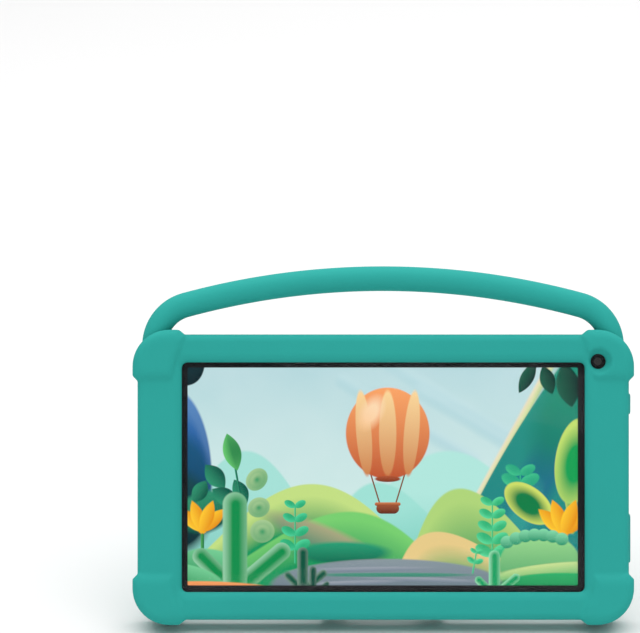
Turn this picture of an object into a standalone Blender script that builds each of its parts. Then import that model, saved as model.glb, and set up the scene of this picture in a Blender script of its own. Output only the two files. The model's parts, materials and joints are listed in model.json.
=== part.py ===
"""Seven-inch children's tablet in a silicone bumper case, with a carry handle and a fold-out stand.

Every piece is drawn in the case's own frame, in millimetres: x to the right seen from the front,
y from the front lip towards the back, z up the screen from the middle of the case. The case then
leans back on its stand, and its lowest edges stand on z = 0.
"""
import math

import bmesh
import bpy
from mathutils import Vector

MM = 0.001
GAP = 0.3

# The case as it stands: it leans back, and the stand leg is turned out of the back.
LEAN = 18.0
STAND_ANGLE = 30.0

# Bumper case: half sizes, depths from the front lip, and wall faces.
CASE_HALF = (96.8, 56.2)
CASE_RADIUS = 12.0
CASE_DEPTH = 14.6
EDGE_ROUND = 2.0
POCKET_HALF = (93.3, 52.8)
POCKET_RADIUS = 7.3
LIP_DEPTH = 2.0
POCKET_FLOOR = 12.2
WINDOW_HALF = (79.3, 45.2)
WINDOW_RADIUS = 2.2
WINDOW_SLOPE = 3.0

# Corner bumps: reach, front and back height, and the end chamfers of the side steps.
BUMP_HALF = (98.7, 58.1)
BUMP_RADIUS = 13.5
BUMP_CENTRE = (89.5, 48.5)
BUMP_FRONT = -1.6
BUMP_BACK = 16.6

# Carry handle: round tube, a long arc between two elbows.
HANDLE_RADIUS = 4.9
HANDLE_DEPTH = 7.3
HANDLE_PEAK = 78.25
HANDLE_ARC = 297.7
HANDLE_ARC_END = 78.0
ELBOW_RADIUS = 16.7
ELBOW_LAST = 26.0
SOCKET_ANGLE = 7.5
SOCKET_SLANT = 31.5

# Kickstand: surround moulded on the case, hard insert, leg and pin.
SURROUND_HALF = 24.9
SURROUND_TOP = 39.5
SURROUND_BACK = 17.6
INSERT_HALF = 18.5
INSERT_TOP = 32.9
INSERT_BACK = 17.4
INSERT_FLOOR = (12.5, 13.2)
INSERT_BOTTOM = -55.8
RECESS_HALF = 15.9
RECESS_TOP = 30.2
FLANGE = 2.5
FLANGE_TOP = 13.4
HINGE_HEIGHT = 10.4
HINGE_DEPTH = 15.5
PIN_RADIUS = 0.7
PIN_HALF = 17.6
LEG_HALF = (15.2, 14.8)
LEG_THICK = 3.0
LEG_HEEL = 1.4
LEG_LENGTH = 66.3
FOOT_NOTCH = (7.9, 15.0)
TONGUE_HALF = 4.0
TONGUE_SPAN = (12.9, 26.5)

# Tablet: rear housing, touch glass, display and middle frame.
HOUSING_HALF = (93.0, 52.5)
HOUSING_RADIUS = 7.0
HOUSING_WALL = 1.4
HOUSING_DEPTHS = (3.5, 11.9)
GLASS_DEPTHS = (2.3, 3.2)
DISPLAY_HALF = (82.1, 48.65)
DISPLAY_DEPTHS = (3.5, 5.8)
FRAME_DEPTHS = (6.1, 6.7)
BOARD_DEPTHS = (7.0, 7.8)
PARTS_DEPTH = 8.1
HOUSING_FLOOR = HOUSING_DEPTHS[1] - HOUSING_WALL

# Places on the face of the tablet, as (x, z).
FRONT_CAMERA = (84.6, 45.6)
REAR_CAMERA = (65.7, 44.7)
SPEAKER = (-52.9, 38.2)
GRILLE_HALF = (10.25, 4.35)
GRILLE_HOLES = (10, 5)
GRILLE_PITCH = (1.62, 1.5)
USB_HEIGHT = 20.0
JACK_HEIGHT = 5.0
JACK_DEPTH = 7.8
MICROPHONE_HEIGHT = -6.0
CARD_HEIGHT = 36.0
KEY_DEPTH = 7.2
POWER_HEIGHT = 28.8
VOLUME_HEIGHT = -24.3
POWER_PAD_HALF = 4.15
VOLUME_PAD_HALF = 9.7
PAD_HALF_DEPTH = 2.5
PAD_FACES = (93.4, 97.7)
KEY_FACES = (90.9, 91.3, 93.0)
SWITCH_FACES = (88.9, 90.2)
KEY_BOARD_FACES = (88.0, 88.6)

MATERIALS = {
    "silicone": ((0.030, 0.370, 0.325), 0.55, 0.0),
    "stand_plastic": ((0.028, 0.330, 0.290), 0.40, 0.0),
    "black_plastic": ((0.020, 0.020, 0.022), 0.45, 0.0),
    "housing_plastic": ((0.035, 0.036, 0.040), 0.50, 0.0),
    "glass": ((0.010, 0.010, 0.012), 0.08, 0.0),
    "display": ((0.25, 0.55, 0.55), 0.30, 0.0),
    "steel": ((0.60, 0.60, 0.62), 0.30, 1.0),
    "board": ((0.010, 0.120, 0.060), 0.50, 0.0),
    "battery": ((0.45, 0.46, 0.48), 0.40, 0.6),
    "gold_flex": ((0.55, 0.30, 0.06), 0.45, 0.2),
}


def material(name):
    """The named Principled material, made once."""
    found = bpy.data.materials.get(name)
    if found:
        return found
    colour, roughness, metallic = MATERIALS[name]
    made = bpy.data.materials.new(name)
    made.use_nodes = True
    shader = made.node_tree.nodes["Principled BSDF"]
    shader.inputs["Base Color"].default_value = (*colour, 1.0)
    shader.inputs["Roughness"].default_value = roughness
    shader.inputs["Metallic"].default_value = metallic
    made.diffuse_color = (*colour, 1.0)
    return made


def rounded(half, radius, centre=(0.0, 0.0), steps=5):
    """Outline of a rectangle with round corners, anticlockwise."""
    points = []
    for quarter in range(4):
        side = 1 if quarter in (0, 3) else -1
        rise = 1 if quarter in (0, 1) else -1
        middle = (centre[0] + side * (half[0] - radius), centre[1] + rise * (half[1] - radius))
        points += arc(middle, radius, 90 * quarter, 90 * quarter + 90, steps)
    return points


def arc(centre, radius, start, end, steps):
    """Points along an arc between two angles in degrees."""
    angles = [math.radians(start + (end - start) * step / steps) for step in range(steps + 1)]
    return [(centre[0] + radius * math.cos(a), centre[1] + radius * math.sin(a)) for a in angles]


def circle(centre, radius, steps=24):
    """Outline of a circle."""
    return arc(centre, radius, 0, 360, steps)[:-1]


def rectangle(low, high):
    """Outline of a plain rectangle between two corners."""
    return [low, (high[0], low[1]), high, (low[0], high[1])]


def scaled(outline, factor, centre):
    """An outline drawn in towards a centre, for a bevelled end."""
    return [(centre[0] + (x - centre[0]) * factor, centre[1] + (z - centre[1]) * factor)
            for x, z in outline]


def faces_back(outline, depth):
    """An outline of (x, z) points set at a depth."""
    return [(x, depth, z) for x, z in outline]


def faces_side(outline, place):
    """An outline of (depth, z) points set at a place along x."""
    return [(place, y, z) for y, z in outline]


def loft(name, rings, finish="silicone"):
    """A closed solid through rings of equally many points."""
    mesh = bpy.data.meshes.new(name)
    bm = bmesh.new()
    loops = [[bm.verts.new(Vector(point) * MM) for point in ring] for ring in rings]
    bm.faces.new(loops[0])
    bm.faces.new(loops[-1])
    for near, far in zip(loops, loops[1:]):
        for index in range(len(near)):
            after = (index + 1) % len(near)
            bm.faces.new((near[index], near[after], far[after], far[index]))
    bmesh.ops.recalc_face_normals(bm, faces=bm.faces)
    bm.to_mesh(mesh)
    bm.free()
    solid = bpy.data.objects.new(name, mesh)
    bpy.context.collection.objects.link(solid)
    mesh.materials.append(material(finish))
    return solid


def prism(name, outline, span, finish="silicone", along="y"):
    """A straight solid of one outline, along the depth or along x."""
    place = faces_back if along == "y" else faces_side
    return loft(name, [place(outline, span[0]), place(outline, span[1])], finish)


def block(name, x_span, y_span, z_span, finish="silicone"):
    """A plain rectangular solid."""
    outline = rectangle((x_span[0], z_span[0]), (x_span[1], z_span[1]))
    return prism(name, outline, y_span, finish)


def combine(target, tool, operation):
    """Apply one exact Boolean to a solid and remove its tool."""
    modifier = target.modifiers.new(operation.title(), "BOOLEAN")
    modifier.operation = operation
    modifier.solver = "EXACT"
    modifier.object = tool
    graph = bpy.context.evaluated_depsgraph_get()
    result = bpy.data.meshes.new_from_object(target.evaluated_get(graph))
    target.modifiers.clear()
    spent = target.data
    target.data = result
    bpy.data.meshes.remove(spent)
    bpy.data.objects.remove(tool)


def cut(target, tool):
    combine(target, tool, "DIFFERENCE")


def weld(target, tool):
    combine(target, tool, "UNION")


def smooth(solid, degrees=35.0):
    """Smooth shading with the hard edges kept."""
    solid.data.shade_smooth()
    solid.data.set_sharp_from_angle(angle=math.radians(degrees))


def empty(name, place=(0.0, 0.0, 0.0), turn=0.0, parent=None):
    """A holder at a place in its parent's frame, turned about x."""
    holder = bpy.data.objects.new(name, None)
    bpy.context.collection.objects.link(holder)
    holder.location = Vector(place) * MM
    holder.rotation_euler = (math.radians(turn), 0.0, 0.0)
    holder.parent = parent
    return holder


# ---------------------------------------------------------------- bumper case and handle

def case_shell():
    """The outside of the case between its corners, with rounded long edges."""
    steps = [(0.0, 1.0), (0.3, 0.3), (1.0, 0.0)]
    rings = []
    for rise, inset in steps:
        rings.append((rise * EDGE_ROUND, inset * EDGE_ROUND))
    for rise, inset in reversed(steps):
        rings.append((CASE_DEPTH - rise * EDGE_ROUND, inset * EDGE_ROUND))
    loops = []
    for depth, inset in rings:
        half = (CASE_HALF[0] - inset, CASE_HALF[1] - inset)
        loops.append(faces_back(rounded(half, CASE_RADIUS - inset), depth))
    return loft("bumper_case", loops)


def corner_bump(side, rise):
    """One corner guard: front pad, side step and back flap in one closed solid."""
    outer = arc((BUMP_HALF[0] - BUMP_RADIUS, BUMP_HALF[1] - BUMP_RADIUS), BUMP_RADIUS, 0, 90, 8)
    front = [(96.5, 37.7), (98.7, 39.9)] + outer
    front += [(81.1, 58.1), (78.4, 55.9), (79.4, 51.2), (80.6, 46.9), (81.7, 42.7), (82.9, 38.2)]
    if rise > 0:
        back = [(96.5, 39.2), (98.7, 40.0)] + outer
        back += [(83.4, 58.1), (81.7, 55.9), (81.2, 50.8), (80.7, 45.6), (80.2, 40.4), (79.7, 35.2)]
    else:
        back = [(96.5, 40.8), (98.7, 42.6)] + outer
        back += [(81.4, 58.1), (79.6, 55.9), (79.6, 52.1), (79.6, 48.3), (79.6, 44.5), (79.6, 40.8)]
    sections = [(BUMP_FRONT, front, 0.86), (-0.9, front, 0.95), (0.4, front, 1.0),
                (14.2, back, 1.0), (15.8, back, 0.93), (BUMP_BACK, back, 0.84)]
    rings = []
    for depth, outline, factor in sections:
        shrunk = scaled(outline, factor, BUMP_CENTRE)
        rings.append([(side * x, depth, rise * z) for x, z in shrunk])
    return loft("corner_bump", rings)


def stand_surround():
    """The raised pad round the stand, open at the case's bottom edge."""
    def outline(half, top):
        low = -CASE_HALF[1] + 0.3
        upper = arc((half - 4.0, top - 4.0), 4.0, 0, 90, 4)
        upper += arc((4.0 - half, top - 4.0), 4.0, 90, 180, 4)
        return [(half, low)] + upper + [(-half, low)]

    sections = [(13.0, 0.6), (SURROUND_BACK - 0.8, 0.0), (SURROUND_BACK, -0.7)]
    rings = []
    for depth, grow in sections:
        rings.append(faces_back(outline(SURROUND_HALF + grow, SURROUND_TOP + grow), depth))
    return loft("stand_surround", rings)


def window_cutter():
    """The screen window, with the sloping inner faces of the front frame."""
    rings = []
    for depth, grow in [(-3.0, WINDOW_SLOPE + 0.4), (0.0, WINDOW_SLOPE), (1.5, 0.0), (3.0, 0.0)]:
        half = (WINDOW_HALF[0] + grow, WINDOW_HALF[1] + grow)
        rings.append(faces_back(rounded(half, WINDOW_RADIUS + grow), depth))
    return loft("window_cutter", rings)


def camera_dimple():
    """The funnel through the front pad over the front camera."""
    rings = []
    for depth, radius in [(-3.0, 6.2), (BUMP_FRONT, 5.4), (1.2, 2.9), (3.0, 2.9)]:
        rings.append(faces_back(circle(FRONT_CAMERA, radius), depth))
    return loft("camera_dimple", rings)


def insert_opening():
    """The opening that the stand insert fills, with the rebate for its flange."""
    low = -CASE_HALF[1] - 2.0
    half = INSERT_HALF + GAP
    opening = block("insert_opening", (-half, half), (POCKET_FLOOR, 19.0), (low, INSERT_TOP + GAP))
    half += FLANGE
    rebate = block("rebate", (-half, half), (12.0, FLANGE_TOP + GAP),
                   (-POCKET_HALF[1] + 1.0, INSERT_TOP + FLANGE + GAP))
    weld(opening, rebate)
    return opening


def handle_rings(radius, drop):
    """Rings along the handle, from the left socket over the top to the right one."""
    arc_end = math.asin(HANDLE_ARC_END / HANDLE_ARC)
    arc_centre = (0.0, HANDLE_PEAK - HANDLE_ARC)
    join = (HANDLE_ARC_END, arc_centre[1] + HANDLE_ARC * math.cos(arc_end))
    elbow = (join[0] - ELBOW_RADIUS * math.sin(arc_end),
             join[1] - ELBOW_RADIUS * math.cos(arc_end))
    stations = []
    for step in range(9):
        turn = arc_end * step / 9
        normal = (math.sin(turn), math.cos(turn))
        stations.append((arc_centre[0] + HANDLE_ARC * normal[0],
                         arc_centre[1] + HANDLE_ARC * normal[1], normal))
    last = math.radians(ELBOW_LAST)
    for step in range(7):
        turn = math.pi / 2 - arc_end + (last - math.pi / 2 + arc_end) * step / 6
        normal = (math.cos(turn), math.sin(turn))
        stations.append((elbow[0] + ELBOW_RADIUS * normal[0],
                         elbow[1] + ELBOW_RADIUS * normal[1], normal))
    turn = math.radians(SOCKET_ANGLE)
    slant = math.tan(math.radians(SOCKET_SLANT))
    along = (math.sin(turn), -math.cos(turn))
    normal = (math.cos(turn) + slant * along[0], math.sin(turn) + slant * along[1])
    stations.append((elbow[0] + ELBOW_RADIUS * math.cos(turn) + drop * along[0],
                     elbow[1] + ELBOW_RADIUS * math.sin(turn) + drop * along[1], normal))
    left = [(-x, z, (-n[0], n[1])) for x, z, n in reversed(stations[1:])]
    rings = []
    for x, z, normal in left + stations:
        ring = []
        for step in range(16):
            turn = math.tau * step / 16
            out = radius * math.cos(turn)
            ring.append((x + out * normal[0], HANDLE_DEPTH + radius * math.sin(turn),
                         z + out * normal[1]))
        rings.append(ring)
    return rings


def bumper_case():
    """The silicone case in one moulding, with every opening cut through it."""
    case = case_shell()
    for side in (1, -1):
        for rise in (1, -1):
            weld(case, corner_bump(side, rise))
    weld(case, stand_surround())
    pocket = rounded(POCKET_HALF, POCKET_RADIUS)
    cut(case, prism("pocket", pocket, (LIP_DEPTH, POCKET_FLOOR)))
    cut(case, window_cutter())
    cut(case, camera_dimple())
    cut(case, insert_opening())
    cut(case, prism("camera_hole", circle(REAR_CAMERA, 7.0, 32), (11.0, 19.0)))
    grille = (GRILLE_HALF[0] + 0.4, GRILLE_HALF[1] + 0.4)
    cut(case, prism("grille_hole", rounded(grille, 1.6, SPEAKER, 4), (11.0, 19.0)))
    inside = (-CASE_HALF[0] - 3.0, -POCKET_HALF[0] + 1.0)
    usb = rounded((3.6, 6.0), 2.0, (8.5, USB_HEIGHT), 4)
    cut(case, prism("usb_hole", usb, inside, along="x"))
    cut(case, prism("jack_hole", circle((JACK_DEPTH, JACK_HEIGHT), 4.0), inside, along="x"))
    sound = circle((8.5, MICROPHONE_HEIGHT), 1.0, 12)
    cut(case, prism("microphone_hole", sound, inside, along="x"))
    outside = (POCKET_HALF[0] - 1.0, CASE_HALF[0] + 3.0)
    for height, half in ((POWER_HEIGHT, POWER_PAD_HALF), (VOLUME_HEIGHT, VOLUME_PAD_HALF)):
        pad = rounded((PAD_HALF_DEPTH + GAP, half + GAP), 1.6, (KEY_DEPTH, height), 3)
        cut(case, prism("pad_hole", pad, outside, along="x"))
    cut(case, loft("sockets", handle_rings(HANDLE_RADIUS + GAP, GAP)))
    smooth(case)
    return case


def carry_handle():
    handle = loft("carry_handle", handle_rings(HANDLE_RADIUS, 0.0))
    smooth(handle, 50.0)
    return handle


# ---------------------------------------------------------------- stand

def stand_frame():
    """The hard insert: recess for the leg, flange under the silicone, and spring tongue."""
    half = INSERT_HALF
    frame = block("stand_frame", (-half, half), (INSERT_FLOOR[0], INSERT_BACK),
                  (INSERT_BOTTOM, INSERT_TOP), "stand_plastic")
    flange = block("flange", (-half - FLANGE, half + FLANGE), (INSERT_FLOOR[0], FLANGE_TOP),
                   (-POCKET_HALF[1] + 1.5, INSERT_TOP + FLANGE))
    weld(frame, flange)
    recess = block("recess", (-RECESS_HALF, RECESS_HALF), (INSERT_FLOOR[1], 19.0),
                   (INSERT_BOTTOM - 1.0, RECESS_TOP))
    cut(frame, recess)
    bore = circle((HINGE_DEPTH, HINGE_HEIGHT), PIN_RADIUS + GAP, 16)
    cut(frame, prism("pin_bore", bore, (-PIN_HALF - GAP, PIN_HALF + GAP), along="x"))
    profile = [(12.9, TONGUE_SPAN[1]), (12.9, TONGUE_SPAN[1] - 3.0), (14.1, TONGUE_SPAN[1] - 4.5),
               (14.1, TONGUE_SPAN[0]), (15.6, TONGUE_SPAN[0]), (15.6, TONGUE_SPAN[1] - 2.0)]
    weld(frame, prism("tongue", profile, (-TONGUE_HALF, TONGUE_HALF), along="x"))
    return frame


def stand_leg():
    """The leg, drawn about its hinge: z down the leg, y through its thickness."""
    half = LEG_THICK / 2
    top, foot = LEG_HALF
    notch, rise = FOOT_NOTCH
    slope = math.tan(math.radians(STAND_ANGLE - LEAN))
    low = -LEG_LENGTH
    outline = [(-top, LEG_HEEL), (-top, -1.0), (-foot, low), (-notch, low), (-notch, low + rise),
               (notch, low + rise), (notch, low), (foot, low), (top, -1.0), (top, LEG_HEEL)]
    rings = []
    for depth in (-half, half):
        ring = [(x, depth, z - depth * slope if z == low else z) for x, z in outline]
        rings.append(ring)
    leg = loft("stand_leg", rings, "stand_plastic")
    bore = circle((0.0, 0.0), PIN_RADIUS + GAP, 16)
    cut(leg, prism("leg_bore", bore, (-top - 1.0, top + 1.0), along="x"))
    return leg


def stand_hinge_pin():
    outline = circle((HINGE_DEPTH, HINGE_HEIGHT), PIN_RADIUS, 16)
    pin = prism("stand_hinge_pin", outline, (-PIN_HALF, PIN_HALF), "steel", along="x")
    smooth(pin)
    return pin


# ---------------------------------------------------------------- side keys

def button_pad(name, half):
    """A flexible silicone pad over a side key, drawn about its own middle height."""
    rings = []
    for place, inset in ((PAD_FACES[0], 0.0), (PAD_FACES[1] - 0.5, 0.0), (PAD_FACES[1], 0.5)):
        size = (PAD_HALF_DEPTH - inset, half - inset)
        rings.append(faces_side(rounded(size, 1.4 - inset, (0.0, 0.0), 3), place - PAD_FACES[0]))
    return loft(name, rings)


def side_key(name, half):
    """A plastic key: a flange inside the housing wall and a stem through it."""
    inner, shoulder, outer = (face - PAD_FACES[0] for face in KEY_FACES)
    key = prism(name, rounded((1.6, half + 0.8), 0.5, (0.0, 0.0), 2), (inner, shoulder),
                "black_plastic", along="x")
    stem = prism("stem", rounded((1.0, half), 0.5, (0.0, 0.0), 2), (inner + 0.1, outer), along="x")
    weld(key, stem)
    return key


def key_board_parts():
    """The narrow board beside the right edge and the switches that stand on it."""
    board = block("side_key_board", KEY_BOARD_FACES, (5.6, 8.8), (-36.0, 36.0), "board")
    places = {"power_switch": POWER_HEIGHT, "volume_up_switch": VOLUME_HEIGHT + 6.5,
              "volume_down_switch": VOLUME_HEIGHT - 6.5}
    parts = [board]
    for name, height in places.items():
        body = block(name, (SWITCH_FACES[0], SWITCH_FACES[1] - 0.4), (5.8, 8.6),
                     (height - 2.0, height + 2.0), "steel")
        plunger = prism("plunger", circle((KEY_DEPTH, height), 0.8, 12),
                        (SWITCH_FACES[0] + 0.2, SWITCH_FACES[1]), along="x")
        weld(body, plunger)
        parts.append(body)
    return parts


# ---------------------------------------------------------------- tablet

def rear_housing():
    """The tablet's tray, with its sound, camera, key and port openings."""
    low, high = HOUSING_DEPTHS
    tray = prism("rear_housing", rounded(HOUSING_HALF, HOUSING_RADIUS), (low, high),
                 "housing_plastic")
    inner = (HOUSING_HALF[0] - HOUSING_WALL, HOUSING_HALF[1] - HOUSING_WALL)
    cut(tray, prism("hollow", rounded(inner, HOUSING_RADIUS - HOUSING_WALL),
                    (low - 1.0, HOUSING_FLOOR)))
    cut(tray, prism("lens_hole", circle(REAR_CAMERA, 3.6), (9.0, 13.0)))
    cut(tray, prism("sound_hole", rounded((8.6, 3.2), 1.0, SPEAKER, 3), (9.0, 13.0)))
    left = (-HOUSING_HALF[0] - 1.0, -inner[0] + 0.5)
    cut(tray, prism("usb_port_hole", rounded((1.9, 4.8), 1.7, (8.5, USB_HEIGHT), 4), left,
                    along="x"))
    cut(tray, prism("jack_port_hole", circle((JACK_DEPTH, JACK_HEIGHT), 2.9), left, along="x"))
    cut(tray, block("card_port_hole", left, (8.2, 9.6), (CARD_HEIGHT - 6.0, CARD_HEIGHT + 6.0)))
    sound = circle((8.5, MICROPHONE_HEIGHT), 0.6, 10)
    cut(tray, prism("microphone_port_hole", sound, left, along="x"))
    right = (inner[0] - 0.5, HOUSING_HALF[0] + 1.0)
    for height, half in ((POWER_HEIGHT, 3.5), (VOLUME_HEIGHT, 8.5)):
        slot = rounded((1.0 + GAP, half + GAP), 0.7, (KEY_DEPTH, height), 2)
        cut(tray, prism("key_slot", slot, right, along="x"))
    return tray


def touch_glass():
    return prism("touch_glass", rounded((92.7, 52.2), 6.7), GLASS_DEPTHS, "glass")


def display_panel():
    return prism("display_panel", rounded(DISPLAY_HALF, 1.0, steps=2), DISPLAY_DEPTHS, "display")


def middle_frame():
    """The stiffening plate between display and board, notched round tall parts."""
    plate = prism("middle_frame", rounded((91.2, 50.7), 5.3), FRAME_DEPTHS, "steel")
    deep = (FRAME_DEPTHS[0] - 1.0, FRAME_DEPTHS[1] + 1.0)
    cut(plate, prism("camera_way", circle(FRONT_CAMERA, 2.6), deep))
    cut(plate, block("flex_way", (-12.5, 12.5), deep, (48.5, 49.8)))
    cut(plate, block("key_board_way", (87.6, 93.0), deep, (-37.0, 37.0)))
    cut(plate, block("jack_way", (-93.0, -82.4), deep, (JACK_HEIGHT - 4.0, JACK_HEIGHT + 4.0)))
    for x, z in board_screw_places():
        cut(plate, prism("screw_way", circle((x, z), 1.0, 12), deep))
    return plate


def board_screw_places():
    return [(-80.0, 46.0), (-64.0, 3.0), (40.0, 45.0), (54.0, 24.0)]


def main_board():
    """The L-shaped circuit board along the top and left of the tablet."""
    outline = [(-90.5, -10.0), (-60.0, -10.0), (-60.0, 20.0), (58.0, 20.0), (58.0, 48.0),
               (-90.5, 48.0)]
    board = prism("main_board", outline, BOARD_DEPTHS, "board")
    deep = (BOARD_DEPTHS[0] - 1.0, BOARD_DEPTHS[1] + 1.0)
    cut(board, block("usb_notch", (-92.0, -85.0), deep, (USB_HEIGHT - 4.9, USB_HEIGHT + 4.9)))
    cut(board, block("jack_notch", (-92.0, -82.4), deep, (JACK_HEIGHT - 4.0, JACK_HEIGHT + 4.0)))
    for x, z in board_screw_places():
        cut(board, prism("screw_hole", circle((x, z), 1.1, 12), deep))
    return board


def board_screws():
    """Four screws through the board into the middle frame."""
    screws = []
    for index, (x, z) in enumerate(board_screw_places(), 1):
        rings = []
        steps = [(FRAME_DEPTHS[0] + 0.1, 0.7), (PARTS_DEPTH, 0.7), (PARTS_DEPTH, 1.7),
                 (PARTS_DEPTH + 0.5, 1.7), (PARTS_DEPTH + 0.9, 1.2)]
        for depth, radius in steps:
            rings.append(faces_back(circle((x, z), radius, 16), depth))
        screws.append(loft("board_screw_%d" % index, rings, "steel"))
    return screws


def battery():
    """The flat pouch cell beside the board."""
    outline = rounded((50.0, 31.0), 2.0, (8.0, -15.5), 3)
    return prism("battery", outline, (7.0, 10.2), "battery")


def battery_connector():
    return block("battery_connector", (-8.0, 0.0), (PARTS_DEPTH, 9.6), (21.5, 25.5),
                 "black_plastic")


def processor_shield():
    return prism("processor_shield", rounded((14.0, 10.5), 1.0, (27.0, 32.0), 2),
                 (PARTS_DEPTH, 9.7), "steel")


def rear_camera_ring():
    """The black stepped bezel that frames the rear lens."""
    def turned(name, steps):
        rings = [faces_back(circle(REAR_CAMERA, radius, 32), depth) for depth, radius in steps]
        return loft(name, rings, "black_plastic")

    ring = turned("rear_camera_ring", [(12.2, 6.4), (14.6, 6.4), (15.1, 5.9)])
    cut(ring, turned("ring_bore", [(11.0, 3.2), (12.9, 3.2), (12.9, 4.05), (14.3, 4.05),
                                   (16.0, 5.2)]))
    smooth(ring)
    return ring


def rear_camera_lens():
    rings = []
    for depth, radius in ((13.2, 3.75), (14.0, 3.75), (14.2, 3.4)):
        rings.append(faces_back(circle(REAR_CAMERA, radius, 24), depth))
    lens = loft("rear_camera_lens", rings, "glass")
    smooth(lens)
    return lens


def rear_camera_module():
    x, z = REAR_CAMERA
    module = block("rear_camera_module", (x - 4.2, x + 4.2), (7.0, 9.6), (z - 4.2, z + 4.2),
                   "black_plastic")
    weld(module, prism("barrel", circle(REAR_CAMERA, 3.2), (9.2, 11.8)))
    return module


def front_camera_module():
    x, z = FRONT_CAMERA
    module = block("front_camera_module", (x - 3.2, x + 3.2), (7.0, 9.4), (z - 3.2, z + 3.2),
                   "black_plastic")
    weld(module, prism("barrel", circle(FRONT_CAMERA, 2.0), (3.6, 7.4)))
    return module


def speaker_grille():
    """The black sound cover with its rows of holes and a raised rim."""
    grille = prism("speaker_grille", rounded(GRILLE_HALF, 1.2, SPEAKER, 3), (12.2, 14.9),
                   "black_plastic")
    cut(grille, prism("rim", rounded((9.3, 3.4), 0.8, SPEAKER, 3), (14.4, 16.0)))
    cut(grille, prism("sound_box", rounded((8.8, 3.6), 0.6, SPEAKER, 3), (11.0, 13.5)))
    columns, rows = GRILLE_HOLES
    for row in range(rows):
        height = SPEAKER[1] + (row - (rows - 1) / 2) * GRILLE_PITCH[1]
        for column in range(columns):
            across = SPEAKER[0] + (column - (columns - 1) / 2) * GRILLE_PITCH[0]
            cut(grille, block("sound_hole", (across - 0.5, across + 0.5), (13.0, 15.0),
                              (height - 0.45, height + 0.45)))
    return grille


def speaker_box():
    """The sealed chamber that holds the speaker cone."""
    box = prism("speaker_box", rounded((12.0, 7.0), 1.5, SPEAKER, 3), (PARTS_DEPTH, 10.2),
                "black_plastic")
    cut(box, prism("cone_seat", rounded((8.6, 4.6), 2.5, SPEAKER, 3), (8.7, 11.0)))
    return box


def speaker_cone():
    """The moving diaphragm inside the speaker box."""
    rings = []
    for depth, inset in ((9.0, 0.0), (9.3, 0.3), (9.6, 1.6)):
        rings.append(faces_back(rounded((8.2 - inset, 4.2 - inset), 2.4 - inset * 0.6, SPEAKER, 3),
                                depth))
    return loft("speaker_cone", rings, "black_plastic")


def usb_port():
    """Charging socket shell with its contact tongue."""
    z = USB_HEIGHT
    shell = prism("usb_port", rounded((1.6, 4.5), 1.5, (8.5, z), 4), (-92.7, -85.3), "steel",
                  along="x")
    cut(shell, prism("mouth", rounded((1.2, 4.1), 1.1, (8.5, z), 4), (-94.0, -87.0), along="x"))
    weld(shell, block("contacts", (-92.0, -86.5), (8.15, 8.85), (z - 3.2, z + 3.2)))
    return shell


def headphone_jack():
    """Audio socket: a body with a barrel that fills the hole in the housing wall."""
    z = JACK_HEIGHT
    body = block("headphone_jack", (-91.3, -82.8), (5.7, 9.9), (z - 3.5, z + 3.5),
                 "black_plastic")
    weld(body, prism("barrel", circle((JACK_DEPTH, z), 2.6), (-92.8, -91.0), along="x"))
    cut(body, prism("bore", circle((JACK_DEPTH, z), 1.75, 16), (-94.0, -84.0), along="x"))
    return body


def card_slot():
    """Memory card holder behind its slit in the housing wall."""
    z = CARD_HEIGHT
    slot = block("card_slot", (-91.2, -77.0), (PARTS_DEPTH, 9.7), (z - 6.5, z + 6.5), "steel")
    cut(slot, block("card_way", (-93.0, -79.0), (8.5, 9.3), (z - 5.6, z + 5.6)))
    return slot


def microphone():
    z = MICROPHONE_HEIGHT
    return block("microphone", (-90.8, -87.0), (PARTS_DEPTH, 9.2), (z - 1.5, z + 1.5), "steel")


def wifi_antenna():
    return block("wifi_antenna", (-60.0, -12.0), (7.2, 7.6), (-50.3, -47.3), "gold_flex")


def display_flex():
    """The ribbon from the display's top edge round to the back of the board."""
    profile = [(4.3, 49.0), (4.3, 49.3), (8.4, 49.3), (8.4, 41.0), (8.1, 41.0), (8.1, 49.0)]
    return prism("display_flex", profile, (-11.0, 11.0), "gold_flex", along="x")


# ---------------------------------------------------------------- assembly

def attach(piece, holder):
    piece.parent = holder


def stand_on_floor(root):
    """Centre the assembly over the origin, with its lowest point at z = 0."""
    bpy.context.view_layer.update()
    corners = []
    for piece in bpy.data.objects:
        if piece.type == "MESH":
            corners += [piece.matrix_world @ vertex.co for vertex in piece.data.vertices]
    lows = [min(corner[axis] for corner in corners) for axis in range(3)]
    highs = [max(corner[axis] for corner in corners) for axis in range(3)]
    root.location.x -= (lows[0] + highs[0]) / 2
    root.location.y -= (lows[1] + highs[1]) / 2
    root.location.z -= lows[2]


def main():
    for leftover in list(bpy.data.objects):
        bpy.data.objects.remove(leftover)
    case_frame = empty("case_frame", turn=-LEAN)
    fixed = [bumper_case(), carry_handle(), stand_frame(), stand_hinge_pin(), touch_glass(),
             display_panel(), middle_frame(), rear_housing(), rear_camera_ring(),
             rear_camera_lens(), rear_camera_module(), front_camera_module(), speaker_grille(),
             speaker_box(), speaker_cone(), main_board(), processor_shield(), battery(),
             battery_connector(), usb_port(), headphone_jack(), card_slot(), microphone(),
             wifi_antenna(), display_flex()]
    fixed += board_screws() + key_board_parts()
    for piece in fixed:
        attach(piece, case_frame)
    leg_hinge = empty("leg_hinge", (0.0, HINGE_DEPTH, HINGE_HEIGHT), STAND_ANGLE, case_frame)
    attach(stand_leg(), leg_hinge)
    power = empty("power_press", (PAD_FACES[0], KEY_DEPTH, POWER_HEIGHT), parent=case_frame)
    attach(button_pad("power_button_pad", POWER_PAD_HALF), power)
    attach(side_key("power_key", 3.5), power)
    volume = empty("volume_rock", (PAD_FACES[0], KEY_DEPTH, VOLUME_HEIGHT), parent=case_frame)
    attach(button_pad("volume_button_pad", VOLUME_PAD_HALF), volume)
    attach(side_key("volume_key", 8.5), volume)
    stand_on_floor(case_frame)


main()
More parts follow.
